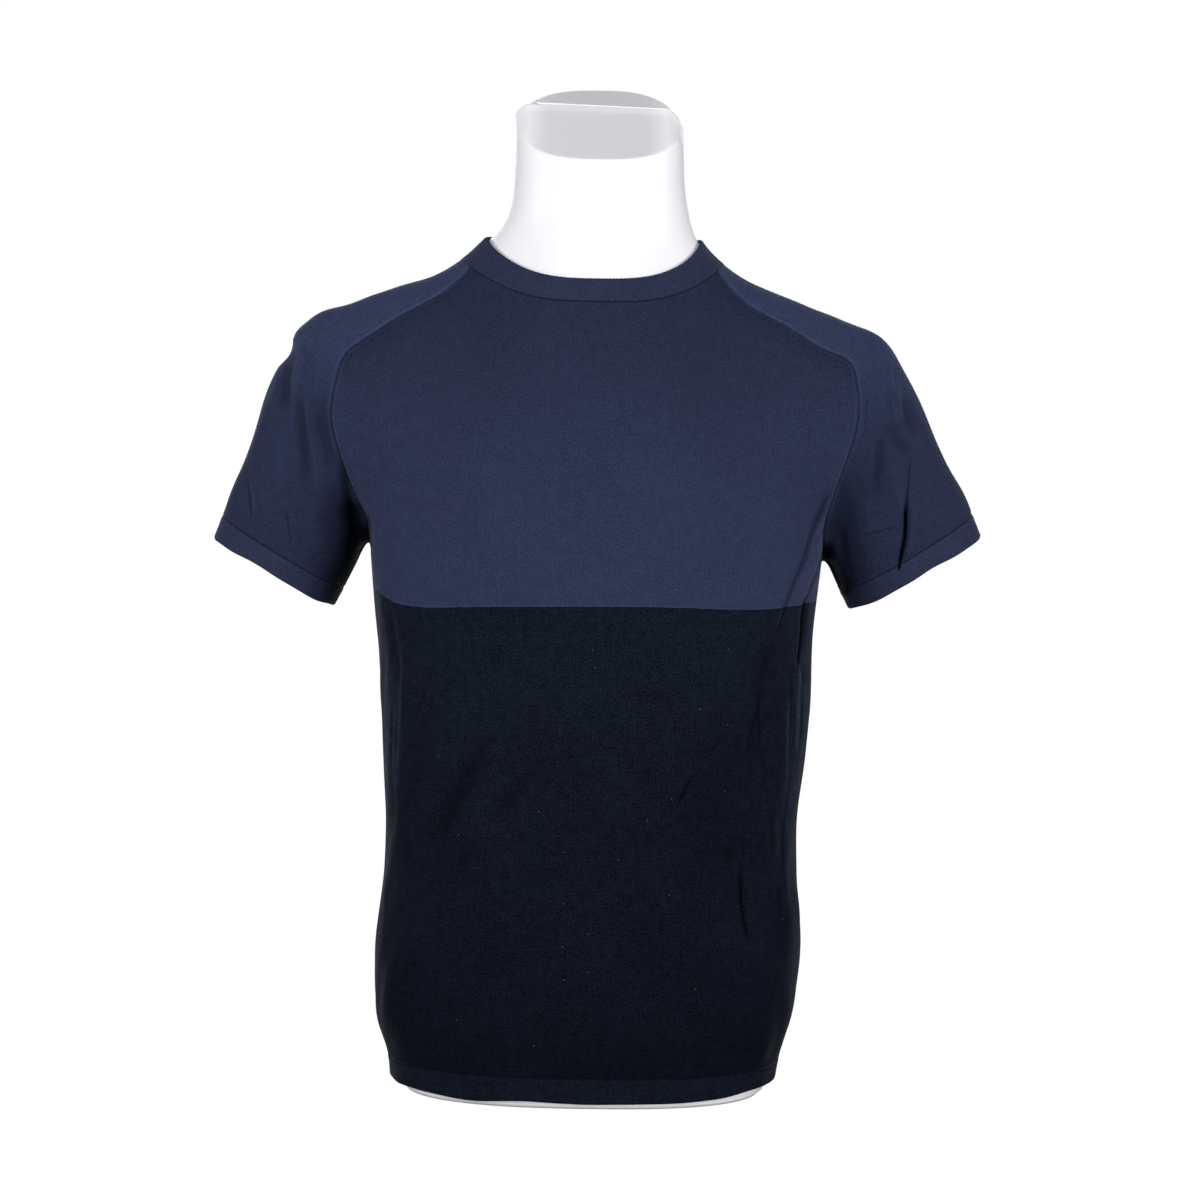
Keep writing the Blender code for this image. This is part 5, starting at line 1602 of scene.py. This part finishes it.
def knit(name, colour, seam_line, marks=(), dark=None, wale=JERSEY_WALE, course=JERSEY_COURSE, rib=0.0,
         mottle=NAVY_MOTTLE):
    """Fine knitted cotton: a dark dull yarn with its stitches, mottle, lint, seam lines and painted shading.
    """
    f = Finish(name)
    across, up = cloth_place(f)
    stitches = stitch_height(f, across, up, wale, course)
    factor = f.number("MULTIPLY_ADD", stitches, *STITCH_TONE)
    # The folds' painted shade and highlights, and the painted light by height, darken or lift the yarn's tone
    for kind in FINE_KINDS:
        factor = f.product(factor, fine_lines(f, kind))
    factor = f.product(factor, f.attribute("painted_shading"))
    base = colour
    lint_share = NAVY_LINT
    if dark:
        upper, first_row = colour_change(f, across, up)
        base = f.mix(upper, dark, base)
        factor = f.changed(factor, first_row, FIRST_ROW_CHANGE)
        lint_share = f.step(upper, 0.0, 1.0, NIGHT_LINT, NAVY_LINT)
        mottle = f.step(upper, 0.0, 1.0, NIGHT_MOTTLE, NAVY_MOTTLE)
    factor = f.changed(factor, yarn_tone(f, across, up), mottle)
    body = f.scaled(base, seam_shades(f, factor, seam_line, marks, rib > 0, across))
    lint = f.product(specks(f, across, up, lint_share), LINT_STRENGTH)
    f.put(f.shader.inputs["Base Color"], f.mix(lint, body, LINT))
    grain = f.cloth_noise(across, up, *YARN_GRAIN)
    height = f.number("MULTIPLY_ADD", grain, YARN_GRAIN_HEIGHT, stitches)
    if rib:
        ribs = f.number("SINE", f.number("MULTIPLY", across, 2 * math.pi / rib))
        height = f.number("MULTIPLY_ADD", ribs, RIB_HEIGHT, height)
    f.relief(height, KNIT_BUMP, KNIT_RELIEF)
    f.put(f.shader.inputs["Roughness"], f.number("MULTIPLY_ADD", stitches, *KNIT_ROUGHNESS))
    f.surface(KNIT_SURFACE)
    return f.material


def white_plastic(name):
    """Smooth moulded plastic, faintly cloudy, with fine scuffs that dull its gloss, and painted shade from
    the cap attribute.
    """
    f = Finish(name)
    place = f.node("ShaderNodeTexCoord").outputs["Object"]
    clouds = f.noise(place, *PLASTIC_CLOUDS)
    grain = f.noise(place, *PLASTIC_GRAIN)
    tone = f.number("MULTIPLY_ADD", grain, *PLASTIC_GRAIN_TONE)
    tone = f.number("MULTIPLY_ADD", clouds, PLASTIC_CLOUD_TONE, tone)
    # The cap attribute darkens it: greyer plastic and painted shade on the cap, painted shade on the neck
    tone = f.changed(tone, f.attribute("cap"), -CAP_GREY_AND_SHADE)
    f.put(f.shader.inputs["Base Color"], f.scaled(PLASTIC, tone))
    f.put(f.shader.inputs["Roughness"], f.step(f.noise(place, *PLASTIC_SCUFFS), *PLASTIC_SCUFF_STEP))
    f.surface({"Specular IOR Level": PLASTIC_SPECULAR})
    f.relief(grain, PLASTIC_BUMP, PLASTIC_RELIEF)
    return f.material


# ---------------------------------------------------------------- the studio

def show_directly(tree, lit, seen, output):
    """What the camera sees straight on, in place of what lights everything else."""
    path = tree.nodes.new("ShaderNodeLightPath")
    mix = tree.nodes.new("ShaderNodeMixShader")
    for socket, source in zip(mix.inputs, (path.outputs["Is Camera Ray"], lit, seen)):
        tree.links.new(source, socket)
    tree.links.new(mix.outputs[0], tree.nodes[output].inputs["Surface"])


def make_floor():
    """A plain floor, as white to look at as the surround and dull in the light it throws back."""
    bm = bmesh.new()
    bmesh.ops.create_grid(bm, x_segments=1, y_segments=1, size=FLOOR_HALF)
    mesh = bpy.data.meshes.new("floor")
    bm.to_mesh(mesh)
    bm.free()
    floor = add_object("floor", mesh)
    f = Finish("floor_paint")
    f.surface(FLOOR_SURFACE)
    seen = f.node("ShaderNodeEmission", Strength=FLOOR_SEEN)
    show_directly(f.tree, f.shader.outputs[0], seen.outputs[0], "Material Output")
    mesh.materials.append(f.material)


def make_world():
    """An even white surround that the camera sees brighter than it lights."""
    world = bpy.data.worlds.new("white_surround")
    bpy.context.scene.world = world
    world.use_nodes = True
    tree = world.node_tree
    seen = tree.nodes.new("ShaderNodeBackground")
    seen.inputs["Color"].default_value = (1, 1, 1, 1)
    seen.inputs["Strength"].default_value = SURROUND_SEEN
    lighting = tree.nodes["Background"]
    lighting.inputs["Strength"].default_value = SURROUND_LIGHT
    show_directly(tree, lighting.outputs[0], seen.outputs[0], "World Output")


def make_softbox(name, place, target, size, power):
    light = bpy.data.lights.new(name, "AREA")
    light.shape = "RECTANGLE"
    light.size, light.size_y = size
    light.energy = power
    box = add_object(name, light)
    box.location = place
    box.rotation_euler = (Vector(target) - Vector(place)).to_track_quat("-Z", "Y").to_euler()


def make_camera():
    camera = bpy.data.cameras.new("camera")
    camera.sensor_width = CAMERA_SENSOR
    camera.lens = CAMERA_LENS
    camera.clip_end = CAMERA_FAR
    seat = add_object("camera", camera)
    tilt = Matrix.Rotation(math.pi / 2 - CAMERA_PITCH, 4, "X") @ Matrix.Rotation(CAMERA_ROLL, 4, "Z")
    seat.matrix_world = Matrix.Translation(CAMERA_PLACE) @ tilt
    bpy.context.scene.camera = seat


# ---------------------------------------------------------------- the sweater on its form

def settle(piece, slot, *nodes):
    """The piece rides on the one body and stands for its CAD nodes, which are hidden."""
    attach(piece, "root")
    if nodes:
        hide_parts(*nodes)


body_knit = knit("body_knit", NAVY, SEAM_LINE["body"], marks=BODY_MARKS, dark=NIGHT)
sleeve_knit = knit("sleeve_knit", SHADED_NAVY_SLEEVE, SEAM_LINE["sleeve"], marks=SLEEVE_MARKS)
rib_knit = knit("rib_knit", NAVY_RIB, SEAM_LINE["rib"], wale=RIB_WALE, course=RIB_COURSE, rib=RIB_PITCH)
dark_rib_knit = knit("dark_rib_knit", NIGHT_RIB, SEAM_LINE["rib"], wale=RIB_WALE, course=RIB_COURSE,
                     rib=RIB_PITCH, mottle=NIGHT_MOTTLE)
plastic = white_plastic("white_plastic")

bodies = {face: body_grid(face) for face in (FRONT, BACK)}
sleeves = {side: sleeve_grid(side) for side in (RIGHT, LEFT)}

form = make_form(plastic)
settle(form, "white_plastic", "dress_form")
settle(make_parting(plastic), "white_plastic")

for face, grid in bodies.items():
    panel = make_body(face, grid, body_knit)
    settle(panel, "body_knit", FACE_NAME[face])

for side, grid in sleeves.items():
    name = SIDE_NAME[side]
    sleeve = make_sleeve(side, grid, sleeve_knit)
    settle(sleeve, "sleeve_knit", f"sleeve_{name}")
    cuff = make_band(f"cuff_{name}_band", cuff_grid(side), rib_knit, CUFF_WAVES,
                     angles=np.linspace(-math.pi, math.pi, SLEEVE_COLUMNS + 1), folds=SLEEVE_FOLDS[side])
    settle(cuff, "rib_knit", f"cuff_{name}")

collar = make_band("collar_band", collar_grid(bodies[FRONT], bodies[BACK], sleeves), rib_knit,
                   COLLAR_WAVES, growth=3)
settle(collar, "rib_knit", "collar")
hem = make_band("hem_rib_band", hem_grid(bodies[FRONT], bodies[BACK]), dark_rib_knit, HEM_WAVES)
settle(hem, "dark_rib_knit", "hem_band")

make_floor()
make_world()
for softbox in SOFTBOXES:
    make_softbox(*softbox)
make_camera()
bpy.context.scene.view_settings.view_transform = "Standard"
